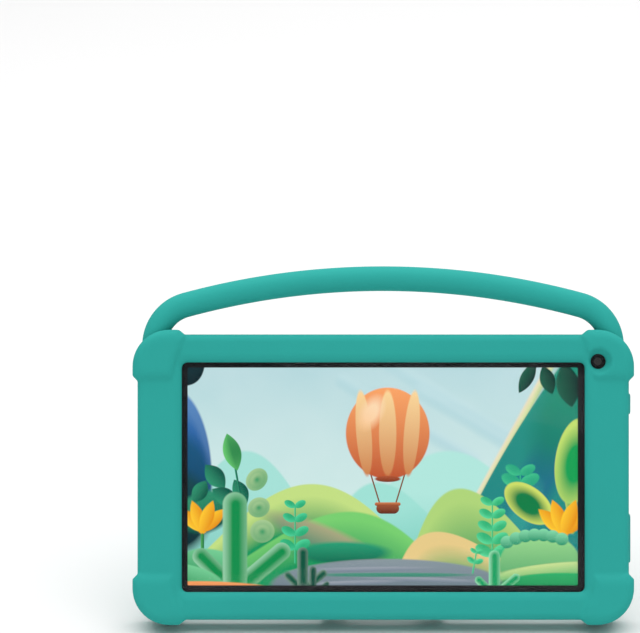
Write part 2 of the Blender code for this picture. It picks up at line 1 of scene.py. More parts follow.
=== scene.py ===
import json
import math
from types import SimpleNamespace

import bmesh
import bpy
from bpy.props import FloatProperty, FloatVectorProperty, IntProperty, PointerProperty
from mathutils import Matrix, Vector


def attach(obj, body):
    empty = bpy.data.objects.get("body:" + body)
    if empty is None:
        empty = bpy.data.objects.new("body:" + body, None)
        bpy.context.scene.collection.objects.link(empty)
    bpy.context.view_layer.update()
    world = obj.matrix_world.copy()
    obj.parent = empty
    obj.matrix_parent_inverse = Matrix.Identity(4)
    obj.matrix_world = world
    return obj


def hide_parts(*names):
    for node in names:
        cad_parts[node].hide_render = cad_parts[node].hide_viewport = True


bl_info = {
    "name": "Kids Tablet in a Bumper Case",
    "version": (1, 0, 0),
    "blender": (4, 5, 0),
    "location": "View3D > Sidebar > Tablet",
    "description": "Builds the visible pieces of a children's tablet round its packed frame",
    "category": "Object",
}

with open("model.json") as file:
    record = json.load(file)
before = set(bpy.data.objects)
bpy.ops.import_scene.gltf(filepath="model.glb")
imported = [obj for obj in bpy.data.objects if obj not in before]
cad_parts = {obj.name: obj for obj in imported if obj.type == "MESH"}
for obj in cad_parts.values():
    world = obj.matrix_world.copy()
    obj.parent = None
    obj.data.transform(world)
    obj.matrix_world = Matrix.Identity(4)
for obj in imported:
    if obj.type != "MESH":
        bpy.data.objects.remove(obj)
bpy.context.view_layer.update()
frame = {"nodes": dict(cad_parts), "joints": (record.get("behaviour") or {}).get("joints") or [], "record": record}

MM = 0.001
JOINTS = {joint["name"]: joint for joint in frame["joints"]}
BODY = "tablet"

# Places in the case's own millimetres: x to the right from the front, depth from the front lip
# to the back, z up the screen from the middle of the case.
HINGE = (15.5, 10.4)
FRONT_CAMERA = (84.6, 45.6)
REAR_CAMERA = (65.7, 44.7)
GRILLE = (-52.9, 38.2)
USB = (8.5, 20.0)
JACK = (7.8, 5.0)
MICROPHONE = (8.5, -6.0)
KEY_DEPTH = 7.2
POWER_HEIGHT = 28.8
VOLUME_HEIGHT = -24.3
PICTURE = (153.7, 85.8)
PICTURE_CENTRE = (-0.2, 0.25)


def case_matrix():
    """From the case's own millimetres to the frame, read from the joints."""
    depth = Vector(JOINTS["volume_rock"]["axis"]).normalized()
    across = Vector((1.0, 0.0, 0.0))
    turn = Matrix((across, depth, across.cross(depth))).transposed().to_4x4()
    hinge = turn @ Vector((0.0, *HINGE)) * MM
    origin = Vector(JOINTS["stand_fold"]["pos_m"]) - hinge
    return Matrix.Translation(origin) @ turn @ Matrix.Scale(MM, 4)


def leg_matrix():
    """From millimetres about the hinge, z down the leg, to the frame."""
    swing = math.radians(JOINTS["stand_fold"]["range_deg"][1])
    return case_matrix() @ Matrix.Translation((0.0, *HINGE)) @ Matrix.Rotation(swing, 4, "X")


# ---------------------------------------------------------------- sizes and colours

def length(name, description, millimetres):
    """A size property, kept in metres."""
    return FloatProperty(name=name, description=description, default=millimetres * MM,
                         unit="LENGTH", precision=5)


def colour(name, description, linear):
    """A finish's colour property."""
    return FloatVectorProperty(name=name, description=description, subtype="COLOR",
                               default=linear)


def measures(name):
    """A property group's lengths in millimetres, with its counts as they are."""
    group = getattr(bpy.context.scene, "tablet_" + name)
    values = {label: getattr(group, label) for label in group.__annotations__}
    return SimpleNamespace(**{label: value if isinstance(value, int) else round(value / MM, 4)
                              for label, value in values.items()})


class TabletCaseSizes(bpy.types.PropertyGroup):
    """Sizes of the silicone case."""
    half_width: length("Half width", "Middle to side", 96.8)
    half_height: length("Half height", "Middle to top", 56.2)
    depth: length("Depth", "Lip to back", 14.6)
    edge: length("Edge radius", "Rounding of the long outer edges", 2.4)
    window_slope: length("Window slope", "Width of the slope round the window", 3.0)
    grain: length("Voxel", "Step of the soft blank's remesh", 0.58)
    triangles: IntProperty(name="Triangles", description="Triangles in the soft blank",
                           default=165000, min=20000)


class TabletHandleSizes(bpy.types.PropertyGroup):
    """Sizes of the carry handle."""
    radius: length("Tube radius", "Half the tube's thickness", 4.9)
    depth: length("Depth", "Lip to the tube's centre", 7.3)
    peak: length("Peak", "Height of the centreline over the case's middle", 78.25)
    arc: length("Arc radius", "Radius of the long arc", 297.7)
    arc_end: length("Arc end", "Half the width of the long arc", 78.0)
    elbow: length("Elbow radius", "Bend down into the case", 16.7)


class TabletStandSizes(bpy.types.PropertyGroup):
    """Sizes of the fold-out stand."""
    insert_half: length("Insert half width", "Middle to side of the hard frame", 18.5)
    insert_top: length("Insert top", "Case's middle to the frame's top", 32.9)
    recess_half: length("Recess half width", "Middle to side of the leg's well", 15.9)
    recess_top: length("Recess top", "Case's middle to the well's top", 30.2)
    leg_half: length("Leg half width", "At the hinge", 15.2)
    foot_half: length("Foot half width", "At the floor", 14.8)
    leg_length: length("Leg length", "Hinge to foot", 66.3)
    leg_thick: length("Leg thickness", "Thickness of the plate", 3.0)


class TabletDetailSizes(bpy.types.PropertyGroup):
    """Counts and sizes of the small repeated features."""
    grille_columns: IntProperty(name="Grille columns", description="Holes across", default=10)
    grille_rows: IntProperty(name="Grille rows", description="Holes down", default=5)
    grille_pitch: length("Grille pitch", "Distance between holes", 1.5228)
    grille_hole: length("Grille hole", "Diameter of a hole", 1.02)


class TabletFinishes(bpy.types.PropertyGroup):
    """Linear colours of the finishes."""
    silicone: colour("Silicone", "Case, pads and handle", (0.029, 0.372, 0.330))
    stand: colour("Stand", "Hard plastic of the stand", (0.027, 0.350, 0.309))
    black: colour("Black parts", "Camera ring, grille and sockets", (0.014, 0.012, 0.013))
    border: colour("Screen border", "Print behind the glass", (0.012, 0.013, 0.016))


# ---------------------------------------------------------------- outlines and solids

def arc(centre, radius, start, end, steps):
    """Points along an arc between two angles in degrees."""
    turns = [math.radians(start + (end - start) * step / steps) for step in range(steps + 1)]
    return [(centre[0] + radius * math.cos(t), centre[1] + radius * math.sin(t)) for t in turns]


def rounded(half, radius, centre=(0.0, 0.0), steps=10):
    """Outline of a rectangle with round corners, anticlockwise."""
    points = []
    for quarter in range(4):
        side = 1 if quarter in (0, 3) else -1
        rise = 1 if quarter in (0, 1) else -1
        middle = (centre[0] + side * (half[0] - radius), centre[1] + rise * (half[1] - radius))
        points += arc(middle, radius, 90 * quarter, 90 * quarter + 90, steps)
    return points


def circle(centre, radius, steps=48):
    return arc(centre, radius, 0, 360, steps)[:-1]


def shrunk(outline, factor, centre):
    return [(centre[0] + (x - centre[0]) * factor, centre[1] + (z - centre[1]) * factor)
            for x, z in outline]


def at_depth(outline, depth):
    return [(x, depth, z) for x, z in outline]


def at_side(outline, place):
    return [(place, y, z) for y, z in outline]


def loft(name, rings, closed=False):
    """A solid through rings of equally many points: capped, or closed into a ring."""
    bm = bmesh.new()
    loops = [[bm.verts.new(point) for point in ring] for ring in rings]
    pairs = list(zip(loops, loops[1:]))
    if closed:
        pairs.append((loops[-1], loops[0]))
    else:
        bm.faces.new(loops[0])
        bm.faces.new(loops[-1])
    for near, far in pairs:
        for index in range(len(near)):
            after = (index + 1) % len(near)
            bm.faces.new((near[index], near[after], far[after], far[index]))
    bmesh.ops.recalc_face_normals(bm, faces=bm.faces)
    mesh = bpy.data.meshes.new(name)
    bm.to_mesh(mesh)
    bm.free()
    solid = bpy.data.objects.new(name, mesh)
    bpy.context.scene.collection.objects.link(solid)
    return solid


def prism(name, outline, span, side=False):
    """A straight solid of one outline, along the depth or along x."""
    place = at_side if side else at_depth
    return loft(name, [place(outline, span[0]), place(outline, span[1])])


def block(name, x_span, y_span, z_span):
    outline = [(x_span[0], z_span[0]), (x_span[1], z_span[0]), (x_span[1], z_span[1]),
               (x_span[0], z_span[1])]
    return prism(name, outline, y_span)


def lathe(name, profile, centre, steps=64, closed=True):
    """A turned piece about the depth axis through centre, from (radius, depth) points."""
    rings = [at_depth(circle(centre, radius, steps), depth) for radius, depth in profile]
    return loft(name, rings, closed)


def evaluated_mesh(solid):
    graph = bpy.context.evaluated_depsgraph_get()
    return bpy.data.meshes.new_from_object(solid.evaluated_get(graph))


def apply_modifiers(solid):
    """Swap a solid's mesh for the one its modifiers give, and drop them."""
    result = evaluated_mesh(solid)
    solid.modifiers.clear()
    spent = solid.data
    solid.data = result
    bpy.data.meshes.remove(spent)


def combine(target, tool, operation):
    """Apply one exact Boolean and remove its tool."""
    modifier = target.modifiers.new("Cut", "BOOLEAN")
    modifier.operation = operation
    modifier.solver = "EXACT"
    modifier.object = tool
    apply_modifiers(target)
    bpy.data.objects.remove(tool)


def cut(target, tool):
    combine(target, tool, "DIFFERENCE")


def weld(target, tool):
    combine(target, tool, "UNION")


def soften(solid, width, segments=3, degrees=30.0):
    """Round a hard solid's edges."""
    bevel = solid.modifiers.new("Edge", "BEVEL")
    bevel.width = width
    bevel.segments = segments
    bevel.limit_method = "ANGLE"
    bevel.angle_limit = math.radians(degrees)
    bevel.harden_normals = False
    apply_modifiers(solid)


def finish_piece(solid, material, slot, *nodes, body=BODY, matrix=None, sharp=35.0):
    solid.data.transform(matrix or case_matrix())
    solid.data.materials.clear()
    solid.data.materials.append(material)
    solid.data.shade_smooth()
    solid.data.set_sharp_from_angle(angle=math.radians(sharp))
    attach(solid, body)
    if nodes:
        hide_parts(*nodes)


# ---------------------------------------------------------------- nodes and shader groups

def feed(tree, socket, value):
    """Link a socket to another, or set its value: a colour comes without its alpha."""
    if isinstance(value, bpy.types.NodeSocket):
        tree.links.new(value, socket)
    elif socket.type == "RGBA":
        socket.default_value = (*value, 1.0)
    else:
        socket.default_value = value


def node(tree, kind, inputs=None, **settings):
    """A new node with its settings, and its inputs fed by label or number."""
    made = tree.nodes.new(kind)
    for name, value in settings.items():
        setattr(made, name, value)
    for label, value in (inputs or {}).items():
        feed(tree, made.inputs[label], value)
    return made


def maths(tree, operation, first, second=None, clamp=False):
    """One Math node on two sockets or numbers, giving its output."""
    values = {0: first} if second is None else {0: first, 1: second}
    return node(tree, "ShaderNodeMath", values, operation=operation, use_clamp=clamp).outputs[0]


def blend_colours(tree, factor, first, second):
    """A colour mix of two sockets or colours, giving its output."""
    return node(tree, "ShaderNodeMix", {0: factor, 6: first, 7: second},
                data_type="RGBA").outputs[2]


def new_tree(kind, name, inputs, outputs):
    """An empty node group with named sockets: the tree, what it is given and what it gives."""
    tree = bpy.data.node_groups.new(name, kind)
    for label, socket, default in inputs:
        made = tree.interface.new_socket(name=label, in_out="INPUT",
                                         socket_type="NodeSocket" + socket)
        if default is not None:
            made.default_value = default
    for label, socket in outputs:
        tree.interface.new_socket(name=label, in_out="OUTPUT", socket_type="NodeSocket" + socket)
    return tree, node(tree, "NodeGroupInput").outputs, node(tree, "NodeGroupOutput").inputs


def new_shader_group(name, numbers, *results):
    """A shader group of named numbers in and out."""
    return new_tree("ShaderNodeTree", name,
                    [(label, "Float", default) for label, default in numbers.items()],
                    [(label, "Float") for label in results])


def object_place(tree):
    return node(tree, "ShaderNodeTexCoord").outputs["Object"]


def noise(tree, vector, scale, detail=3.0, roughness=0.5):
    return node(tree, "ShaderNodeTexNoise", {"Vector": vector, "Scale": scale, "Detail": detail,
                                             "Roughness": roughness}).outputs["Fac"]


def spread(tree, value, low, high, start=0.0, end=1.0):
    """Map a number from start..end to low..high."""
    return node(tree, "ShaderNodeMapRange", {"Value": value, "From Min": start, "From Max": end,
                                             "To Min": low, "To Max": high}).outputs[0]


def bump(tree, height, strength, distance):
    return node(tree, "ShaderNodeBump", {"Height": height, "Strength": strength,
                                         "Distance": distance}).outputs[0]


def moulded_grain_group(name):
    """Fine spark-eroded grain of a moulding, with slow tone drift."""
    tree, given, result = new_shader_group(name, {"Scale": 2500.0, "Drift": 30.0},
                                           "Height", "Tone")
    place = object_place(tree)
    fine = noise(tree, place, given["Scale"], 2.0)
    coarse = maths(tree, "MULTIPLY", given["Scale"], 0.6)
    cells = node(tree, "ShaderNodeTexVoronoi", {"Vector": place, "Scale": coarse})
    height = maths(tree, "ADD", fine, maths(tree, "MULTIPLY", cells.outputs["Distance"], 0.5))
    feed(tree, result["Height"], height)
    feed(tree, result["Tone"], noise(tree, place, given["Drift"], 4.0))
    return tree


def edge_wear_group(name):
    """A mask along worn outer edges, broken up by noise."""
    tree, given, result = new_shader_group(name, {"Amount": 0.5, "Breakup": 180.0}, "Mask")
    point = node(tree, "ShaderNodeNewGeometry").outputs["Pointiness"]
    spots = noise(tree, object_place(tree), given["Breakup"], 5.0, 0.6)
    mask = maths(tree, "MULTIPLY", spread(tree, point, 0.0, 1.0, 0.53, 0.62), spots)
    feed(tree, result["Mask"], maths(tree, "MULTIPLY", mask, given["Amount"], clamp=True))
    return tree


def settled_dust_group(name):
    """A faint dust mask on faces that look up."""
    tree, given, result = new_shader_group(name, {"Amount": 0.1, "Scale": 90.0}, "Mask")
    facing = node(tree, "ShaderNodeNewGeometry").outputs["Normal"]
    split = node(tree, "ShaderNodeSeparateXYZ", {0: facing})
    up = maths(tree, "MAXIMUM", split.outputs[2], 0.0)
    spots = noise(tree, object_place(tree), given["Scale"], 6.0, 0.7)
    mask = maths(tree, "MULTIPLY", maths(tree, "POWER", up, 2.0), spots)
    feed(tree, result["Mask"], maths(tree, "MULTIPLY", mask, given["Amount"], clamp=True))
    return tree


def brushed_lines_group(name):
    """Streaks of drawn or brushed metal along x."""
    tree, given, result = new_shader_group(name, {"Scale": 900.0, "Stretch": 0.04}, "Lines")
    squeeze = node(tree, "ShaderNodeCombineXYZ", {0: given["Stretch"], 1: 1.0, 2: 1.0})
    stretched = node(tree, "ShaderNodeVectorMath",
                     {0: object_place(tree), 1: squeeze.outputs[0]}, operation="MULTIPLY")
    feed(tree, result["Lines"], noise(tree, stretched.outputs[0], given["Scale"], 2.0))
    return tree


GROUP_MAKERS = {"moulded_grain": moulded_grain_group, "edge_wear": edge_wear_group,
                "settled_dust": settled_dust_group, "brushed_lines": brushed_lines_group}


def effect(tree, name, **values):
    """A shared group's outputs in a material; the group is made when it is first asked for."""
    shared = bpy.data.node_groups.get(name) or GROUP_MAKERS[name](name)
    return node(tree, "ShaderNodeGroup", values, node_tree=shared).outputs


# ---------------------------------------------------------------- materials

def new_material(name, **constants):
    """A node material with constants on its Principled shader: it, its tree, its inputs."""
    made = bpy.data.materials.new(name)
    made.use_nodes = True
    shader = made.node_tree.nodes["Principled BSDF"].inputs
    for label, value in constants.items():
        feed(made.node_tree, shader[label.replace("_", " ")], value)
    return made, made.node_tree, shader


def darker(tint, share):
    return tuple(channel * share for channel in tint)


def moulded(name, tint, rough, grain, relief, wear, dust, specular):
    """A moulded plastic or silicone finish: grain, tone drift, rubbed edges and dust."""
    found = bpy.data.materials.get(name)
    if found:
        return found
    made, tree, shader = new_material(name, Specular_IOR_Level=specular)
    grains = effect(tree, "moulded_grain", Scale=grain)
    rubbed = tuple(channel + (1.0 - channel) * 0.22 for channel in tint)
    tone = blend_colours(tree, grains["Tone"], darker(tint, 0.93), tint)
    tone = blend_colours(tree, effect(tree, "edge_wear", Amount=wear)["Mask"], tone, rubbed)
    tone = blend_colours(tree, effect(tree, "settled_dust", Amount=dust)["Mask"], tone,
                         (0.72, 0.70, 0.66))
    feed(tree, shader["Base Color"], tone)
    feed(tree, shader["Roughness"], spread(tree, grains["Tone"], *rough))
    feed(tree, shader["Normal"], bump(tree, grains["Height"], relief, 0.0002))
    return made


def finish_tint(name):
    return tuple(getattr(bpy.context.scene.tablet_finishes, name))


def silicone():
    return moulded("soft_silicone", finish_tint("silicone"), (0.54, 0.66), 2600.0, 0.10, 0.05,
                   0.01, 0.04)


def stand_plastic():
    return moulded("stand_satin", finish_tint("stand"), (0.36, 0.46), 3400.0, 0.06, 0.12, 0.02,
                   0.14)


def black_plastic():
    return moulded("black_satin", finish_tint("black"), (0.34, 0.46), 3200.0, 0.08, 0.30, 0.04,
                   0.40)


def metal(name, tint, rough=(0.22, 0.38)):
    """Drawn or stamped metal with fine streaks."""
    found = bpy.data.materials.get(name)
    if found:
        return found
    made, tree, shader = new_material(name, Metallic=1.0)
    lines = effect(tree, "brushed_lines")["Lines"]
    feed(tree, shader["Base Color"], blend_colours(tree, lines, darker(tint, 0.8), tint))
    feed(tree, shader["Roughness"], spread(tree, lines, *rough))
    return made


def cover_glass():
    """Clear glass with faint finger smudges in its roughness."""
    made, tree, shader = new_material("clear_cover", Base_Color=(1.0, 1.0, 1.0),
                                      Transmission_Weight=1.0, IOR=1.16)
    smudges = noise(tree, object_place(tree), 22.0, 5.0, 0.6)
    feed(tree, shader["Roughness"], spread(tree, smudges, 0.0, 0.05, 0.45, 0.80))
    return made


def clear_lens():
    """A camera's flat window, faintly tinted."""
    made, tree, shader = new_material("clear_lens", Base_Color=(0.50, 0.50, 0.62),
                                      Transmission_Weight=1.0, IOR=1.3)
    haze = maths(tree, "MULTIPLY", noise(tree, object_place(tree), 300.0), 0.03)
    feed(tree, shader["Roughness"], haze)
    return made


def lens_coating(name, tint):
    """Coated optics with a clear gloss in the given tint: dark for the rear eye, a painted pink glint for the
    front eye.
    """
    made, tree, shader = new_material(name, Roughness=0.03, Coat_Weight=1.0, Coat_Roughness=0.01)
    drift = noise(tree, object_place(tree), 400.0)
    feed(tree, shader["Base Color"], blend_colours(tree, drift, darker(tint, 0.6), tint))
    return made


def circuit_board():
    """Green solder mask with copper tracks and plated holes."""
    made, tree, shader = new_material("solder_mask", Roughness=0.42)
    place = object_place(tree)
    tracks = node(tree, "ShaderNodeTexBrick",
                  {"Vector": place, "Scale": 300.0, "Color1": (0.008, 0.085, 0.045),
                   "Color2": (0.010, 0.110, 0.060), "Mortar": (0.030, 0.190, 0.090)})
    holes = node(tree, "ShaderNodeTexVoronoi", {"Vector": place, "Scale": 350.0})
    ring = maths(tree, "LESS_THAN", holes.outputs["Distance"], 0.12)
    feed(tree, shader["Base Color"],
         blend_colours(tree, ring, tracks.outputs["Color"], (0.55, 0.36, 0.10)))
    return made


def crinkled_foil():
    """The battery's soft metal pouch."""
    made, tree, shader = new_material("crinkled_foil", Metallic=0.8, Roughness=0.38)
    folds = noise(tree, object_place(tree), 160.0, 6.0, 0.65)
    feed(tree, shader["Base Color"],
         blend_colours(tree, folds, (0.34, 0.35, 0.37), (0.55, 0.56, 0.58)))
    feed(tree, shader["Normal"], bump(tree, folds, 0.3, 0.0004))
    return made


# ---------------------------------------------------------------- picture on the display

def patch_group(name, mask_of):
    """A painted patch: it lays a shaded shape over a canvas. It works in plain numbers only."""
    numbers = [(label, "Float", default) for label, default in
               (("X", 0.0), ("Y", 0.0), ("Centre X", 0.0), ("Centre Y", 0.0), ("Width", 1.0),
                ("Height", 1.0), ("Length", 0.0), ("Turn", 0.0), ("Softness", 0.05),
                ("Shading", 1.0), ("Rim", 0.0))]
    colours = [(label, "Color", None) for label in ("Canvas", "Light", "Dark")]
    tree, given, result = new_tree("ShaderNodeTree", name, numbers + colours,
                                   [("Canvas", "Color")])
    right = maths(tree, "SUBTRACT", given["X"], given["Centre X"])
    rise = maths(tree, "SUBTRACT", given["Y"], given["Centre Y"])
    cosine = maths(tree, "COSINE", given["Turn"])
    sine = maths(tree, "SINE", given["Turn"])
    along = maths(tree, "ADD", maths(tree, "MULTIPLY", right, cosine),
                  maths(tree, "MULTIPLY", rise, sine))
    across = maths(tree, "SUBTRACT", maths(tree, "MULTIPLY", rise, cosine),
                   maths(tree, "MULTIPLY", right, sine))
    along = maths(tree, "DIVIDE", along, given["Width"])
    across = maths(tree, "DIVIDE", across, given["Height"])
    inside = mask_of(tree, along, across, given)
    edge = maths(tree, "DIVIDE", inside, given["Softness"])
    mask = maths(tree, "ADD", edge, 0.5)
    rim = maths(tree, "MULTIPLY", maths(tree, "SUBTRACT", 0.3, inside), given["Rim"])
    level = maths(tree, "ADD", maths(tree, "MULTIPLY", across, given["Shading"]), rim)
    level = maths(tree, "ADD", maths(tree, "MULTIPLY", level, 0.5), 0.5)
    painted = blend_colours(tree, level, given["Dark"], given["Light"])
    feed(tree, result["Canvas"], blend_colours(tree, mask, given["Canvas"], painted))
    return tree


def squares(tree, first, second):
    """The length of two numbers taken as a vector."""
    total = maths(tree, "ADD", maths(tree, "MULTIPLY", first, first),
                  maths(tree, "MULTIPLY", second, second))
    return maths(tree, "SQRT", total)


def ellipse_mask(tree, along, across, given):
    return maths(tree, "SUBTRACT", 1.0, squares(tree, along, across))


def leaf_mask(tree, along, across, given):
    """Pointed at both ends."""
    bound = maths(tree, "SUBTRACT", 1.0, maths(tree, "MULTIPLY", along, along))
    return maths(tree, "SUBTRACT", bound, maths(tree, "ABSOLUTE", across))


def stem_mask(tree, along, across, given):
    """A round-ended bar: Width and Height are its radius, Length its straight half."""
    half = maths(tree, "DIVIDE", given["Length"], given["Width"])
    past = maths(tree, "SUBTRACT", maths(tree, "ABSOLUTE", along), half)
    past = maths(tree, "MAXIMUM", past, 0.0)
    return maths(tree, "SUBTRACT", 1.0, squares(tree, past, across))


def ridge_mask(tree, along, across, given):
    """Everything under a wide wave with its crest in the middle."""
    wave = maths(tree, "COSINE", maths(tree, "MULTIPLY", along, 1.5708))
    return maths(tree, "SUBTRACT", wave, across)


PATCHES = {"ellipse": ellipse_mask, "leaf": leaf_mask, "stem": stem_mask, "ridge": ridge_mask}


def shade(red, green, blue):
    """A colour given in display values from 0 to 255, made linear."""
    values = [channel / 255.0 for channel in (red, green, blue)]
    return tuple(v / 12.92 if v <= 0.04045 else ((v + 0.055) / 1.055) ** 2.4 for v in values)


class Canvas:
    """Paints patches one over another in a material's node tree."""

    def __init__(self, tree, right, rise, ground):
        self.tree = tree
        self.right = right
        self.rise = rise
        self.painted = ground

    def patch(self, kind, centre, size, turn, light, dark, softness=0.06, shading=1.0, rim=0.0):
        """Lay one patch: places in millimetres, turn in degrees, colours in display values."""
        name = "painted_" + kind
        shared = bpy.data.node_groups.get(name) or patch_group(name, PATCHES[kind])
        values = {"Canvas": self.painted, "X": self.right, "Y": self.rise,
                  "Centre X": centre[0], "Centre Y": centre[1], "Width": size[0],
                  "Height": size[1], "Length": size[-1], "Turn": math.radians(turn),
                  "Softness": softness, "Shading": shading, "Rim": rim,
                  "Light": shade(*light), "Dark": shade(*dark)}
        made = node(self.tree, "ShaderNodeGroup", values, node_tree=shared)
        self.painted = made.outputs["Canvas"]


def paint_distance(canvas):
    """Far hills in haze, under the sky, with slanting light."""
    for centre, length in (((26, 30), 44), ((44, 16), 34), ((10, 22), 30)):
        canvas.patch("stem", centre, (2.2, 2.2, length), -31, (196, 226, 230),
                     (176, 214, 220), 1.6)
    canvas.patch("ridge", (-54, -30), (32, 40), 0, (166, 226, 216), (92, 190, 176), 0.03,
                 1.6)
    canvas.patch("ridge", (-34, -34), (30, 26), -12, (86, 170, 190), (80, 184, 172), 0.04)
    canvas.patch("ridge", (26, -34), (46, 44), 0, (178, 232, 222), (88, 196, 182), 0.03,
                 1.6)
    canvas.patch("ridge", (2, -36), (30, 34), 10, (160, 226, 214), (66, 184, 164), 0.04,
                 1.5)


def paint_right_mountain(canvas):
    """The tall teal slope at the right behind its pale lit ridge."""
    canvas.patch("stem", (44.3, 3.8), (1.5, 1.5, 46), 61.3, (238, 226, 196),
                 (204, 222, 150), 0.6)
    canvas.patch("ellipse", (90, -26), (54.2, 150), -28.7, (44, 156, 130),
                 (22, 118, 134), 0.01, 2.0)
    canvas.patch("ellipse", (61, -2), (7, 24), -28, (36, 120, 140), (22, 104, 132), 0.7)
    canvas.patch("ellipse", (70, 24), (9, 20), -20, (32, 150, 118), (24, 122, 110), 0.8)
    canvas.patch("ellipse", (52, -20), (5, 16), -28, (60, 170, 150), (30, 126, 140), 0.9)
    for centre, size, turn in (((57, 39), (7, 2.6), 62), ((65, 38), (6, 3.0), 108),
                               ((73, 36), (9, 4.6), 100)):
        canvas.patch("leaf", centre, size, turn, (28, 96, 74), (6, 40, 38), 0.12)


def paint_left_rock(canvas):
    """The dark blue rock at the left edge, and a dark leaf tip over it."""
    canvas.patch("ellipse", (-80, 4), (12.5, 30), 4, (92, 140, 196), (14, 58, 112), 0.06)
    canvas.patch("ellipse", (-75, 10), (4.5, 14), 14, (52, 110, 176), (20, 70, 128), 0.5)
    canvas.patch("ellipse", (-79, -4), (11, 20), 0, (24, 88, 130), (12, 52, 78), 0.3)
    canvas.patch("ellipse", (-81, -14), (13, 16), 0, (18, 70, 80), (8, 42, 48), 0.3)
    canvas.patch("leaf", (-77, 42), (9, 6), 38, (30, 66, 74), (10, 34, 40), 0.08)


def paint_hills(canvas):
    """The green middle ground and the grey path."""
    dark = (24, 150, 92)
    canvas.patch("ridge", (-28, -33), (44, 30), -2, (196, 224, 132), dark, 0.02, 0.5, 4.0)
    canvas.patch("ridge", (-12, -36), (40, 22), -8, (120, 208, 112), dark, 0.04, 0.8, 2.0)
    canvas.patch("ridge", (38, -50), (34, 46), 12, (176, 214, 122), dark, 0.02, 0.5, 3.0)
    canvas.patch("ridge", (30, -54), (32, 34), 24, (232, 204, 138), (36, 164, 96), 0.02,
                 0.4, 4.5)
    canvas.patch("ellipse", (-24, -24), (22, 4.6), -22, (176, 170, 130), (86, 140, 112),
                 0.5)
    canvas.patch("ellipse", (-16, -30), (18, 4.2), 0, (40, 160, 118), (10, 104, 78), 0.3)
    canvas.patch("ellipse", (2, -43), (46, 10.5), 0, (136, 150, 158), (84, 108, 122),
                 0.06)
    for centre, width, turn in (((-6, -36.6), 26, 1), ((14, -40.6), 24, -2), ((-14, -42), 20, 2)):
        canvas.patch("ellipse", centre, (width, 0.9), turn, (156, 164, 176),
                     (112, 128, 142), 0.5)
    canvas.patch("ellipse", (4, -38.8), (30, 0.8), 0, (70, 150, 124), (60, 136, 116),
                 0.5)


def paint_balloon(canvas):
    """A plain striped hot-air balloon in the middle of the sky."""
    for side in (-1, 1):
        canvas.patch("stem", (2.0 + side * 5.2, -4.0), (0.28, 0.28, 6.4), 90 - side * 17,
                     (150, 96, 66), (104, 60, 40), 0.3)
    canvas.patch("ellipse", (2, 17), (16.5, 18), 0, (252, 166, 104), (190, 84, 48), 0.03,
                 1.0)
    for offset, width in ((-9.4, 3.0), (0.0, 3.4), (9.4, 3.0)):
        canvas.patch("ellipse", (2 + offset, 17), (width, 16.8), -offset * 0.5,
                     (252, 216, 156), (206, 130, 78), 0.10)
    canvas.patch("ellipse", (-4.5, 25.0), (3.6, 6.0), -30, (255, 236, 204),
                 (252, 190, 128), 0.9, 0.4)
    canvas.patch("ellipse", (2, -1.0), (5.0, 1.2), 0, (176, 84, 50), (120, 52, 32), 0.2)
    canvas.patch("stem", (2, -12.6), (2.1, 2.1, 2.4), 0, (170, 92, 60), (92, 40, 26),
                 0.08)
    canvas.patch("stem", (2, -10.9), (0.7, 0.7, 4.4), 0, (214, 130, 84), (140, 66, 40),
                 0.2)


def paint_cactus(canvas, root, scale, light, dark):
    """A round-ended upright stem with an arm at each side, its edges lit."""
    for way, length, radius in ((135, 19, 3.3), (40, 24, 3.5), (90, 34, 4.8)):
        turn = math.radians(way)
        half = length * scale / 2
        centre = (root[0] + half * math.cos(turn), root[1] + half * math.sin(turn))
        canvas.patch("stem", centre, (radius * scale, radius * scale, half), way, light, dark,
                     0.12, 0.5, 2.2)


def paint_tulip(canvas, base, scale):
    """Pointed yellow petals fanned on a short stem."""
    canvas.patch("stem", (base[0], base[1] - 4 * scale), (0.5 * scale, 0.5 * scale, 4 * scale), 90,
                 (80, 170, 90), (20, 110, 60), 0.3)
    for lean in (-48, 48, -20, 20):
        turn = math.radians(90 - lean)
        centre = (base[0] + 4 * scale * math.cos(turn), base[1] + 4 * scale * math.sin(turn))
        canvas.patch("leaf", centre, (5.4 * scale, 2.0 * scale), 90 - lean, (255, 204, 52),
                     (232, 142, 22), 0.14)


def paint_sprig(canvas, root, turn, length, pairs, leaf, light, dark):
    """A stem with pairs of leaves that shrink towards its tip."""
    way = (math.cos(math.radians(turn)), math.sin(math.radians(turn)))
    middle = (root[0] + way[0] * length / 2, root[1] + way[1] * length / 2)
    canvas.patch("stem", middle, (0.3, 0.3, length / 2), turn, light, dark, 0.4)
    for pair in range(pairs):
        share = (pair + 1) / pairs
        size = leaf * (1.0 - 0.35 * share)
        joint = (root[0] + way[0] * length * share, root[1] + way[1] * length * share)
        for side in (-1, 1):
            angle = turn + side * 62
            tip = math.radians(angle)
            centre = (joint[0] + size * math.cos(tip), joint[1] + size * math.sin(tip))
            canvas.patch("ellipse", centre, (size, size * 0.58), angle, light, dark, 0.12,
                         0.8, 0.6)


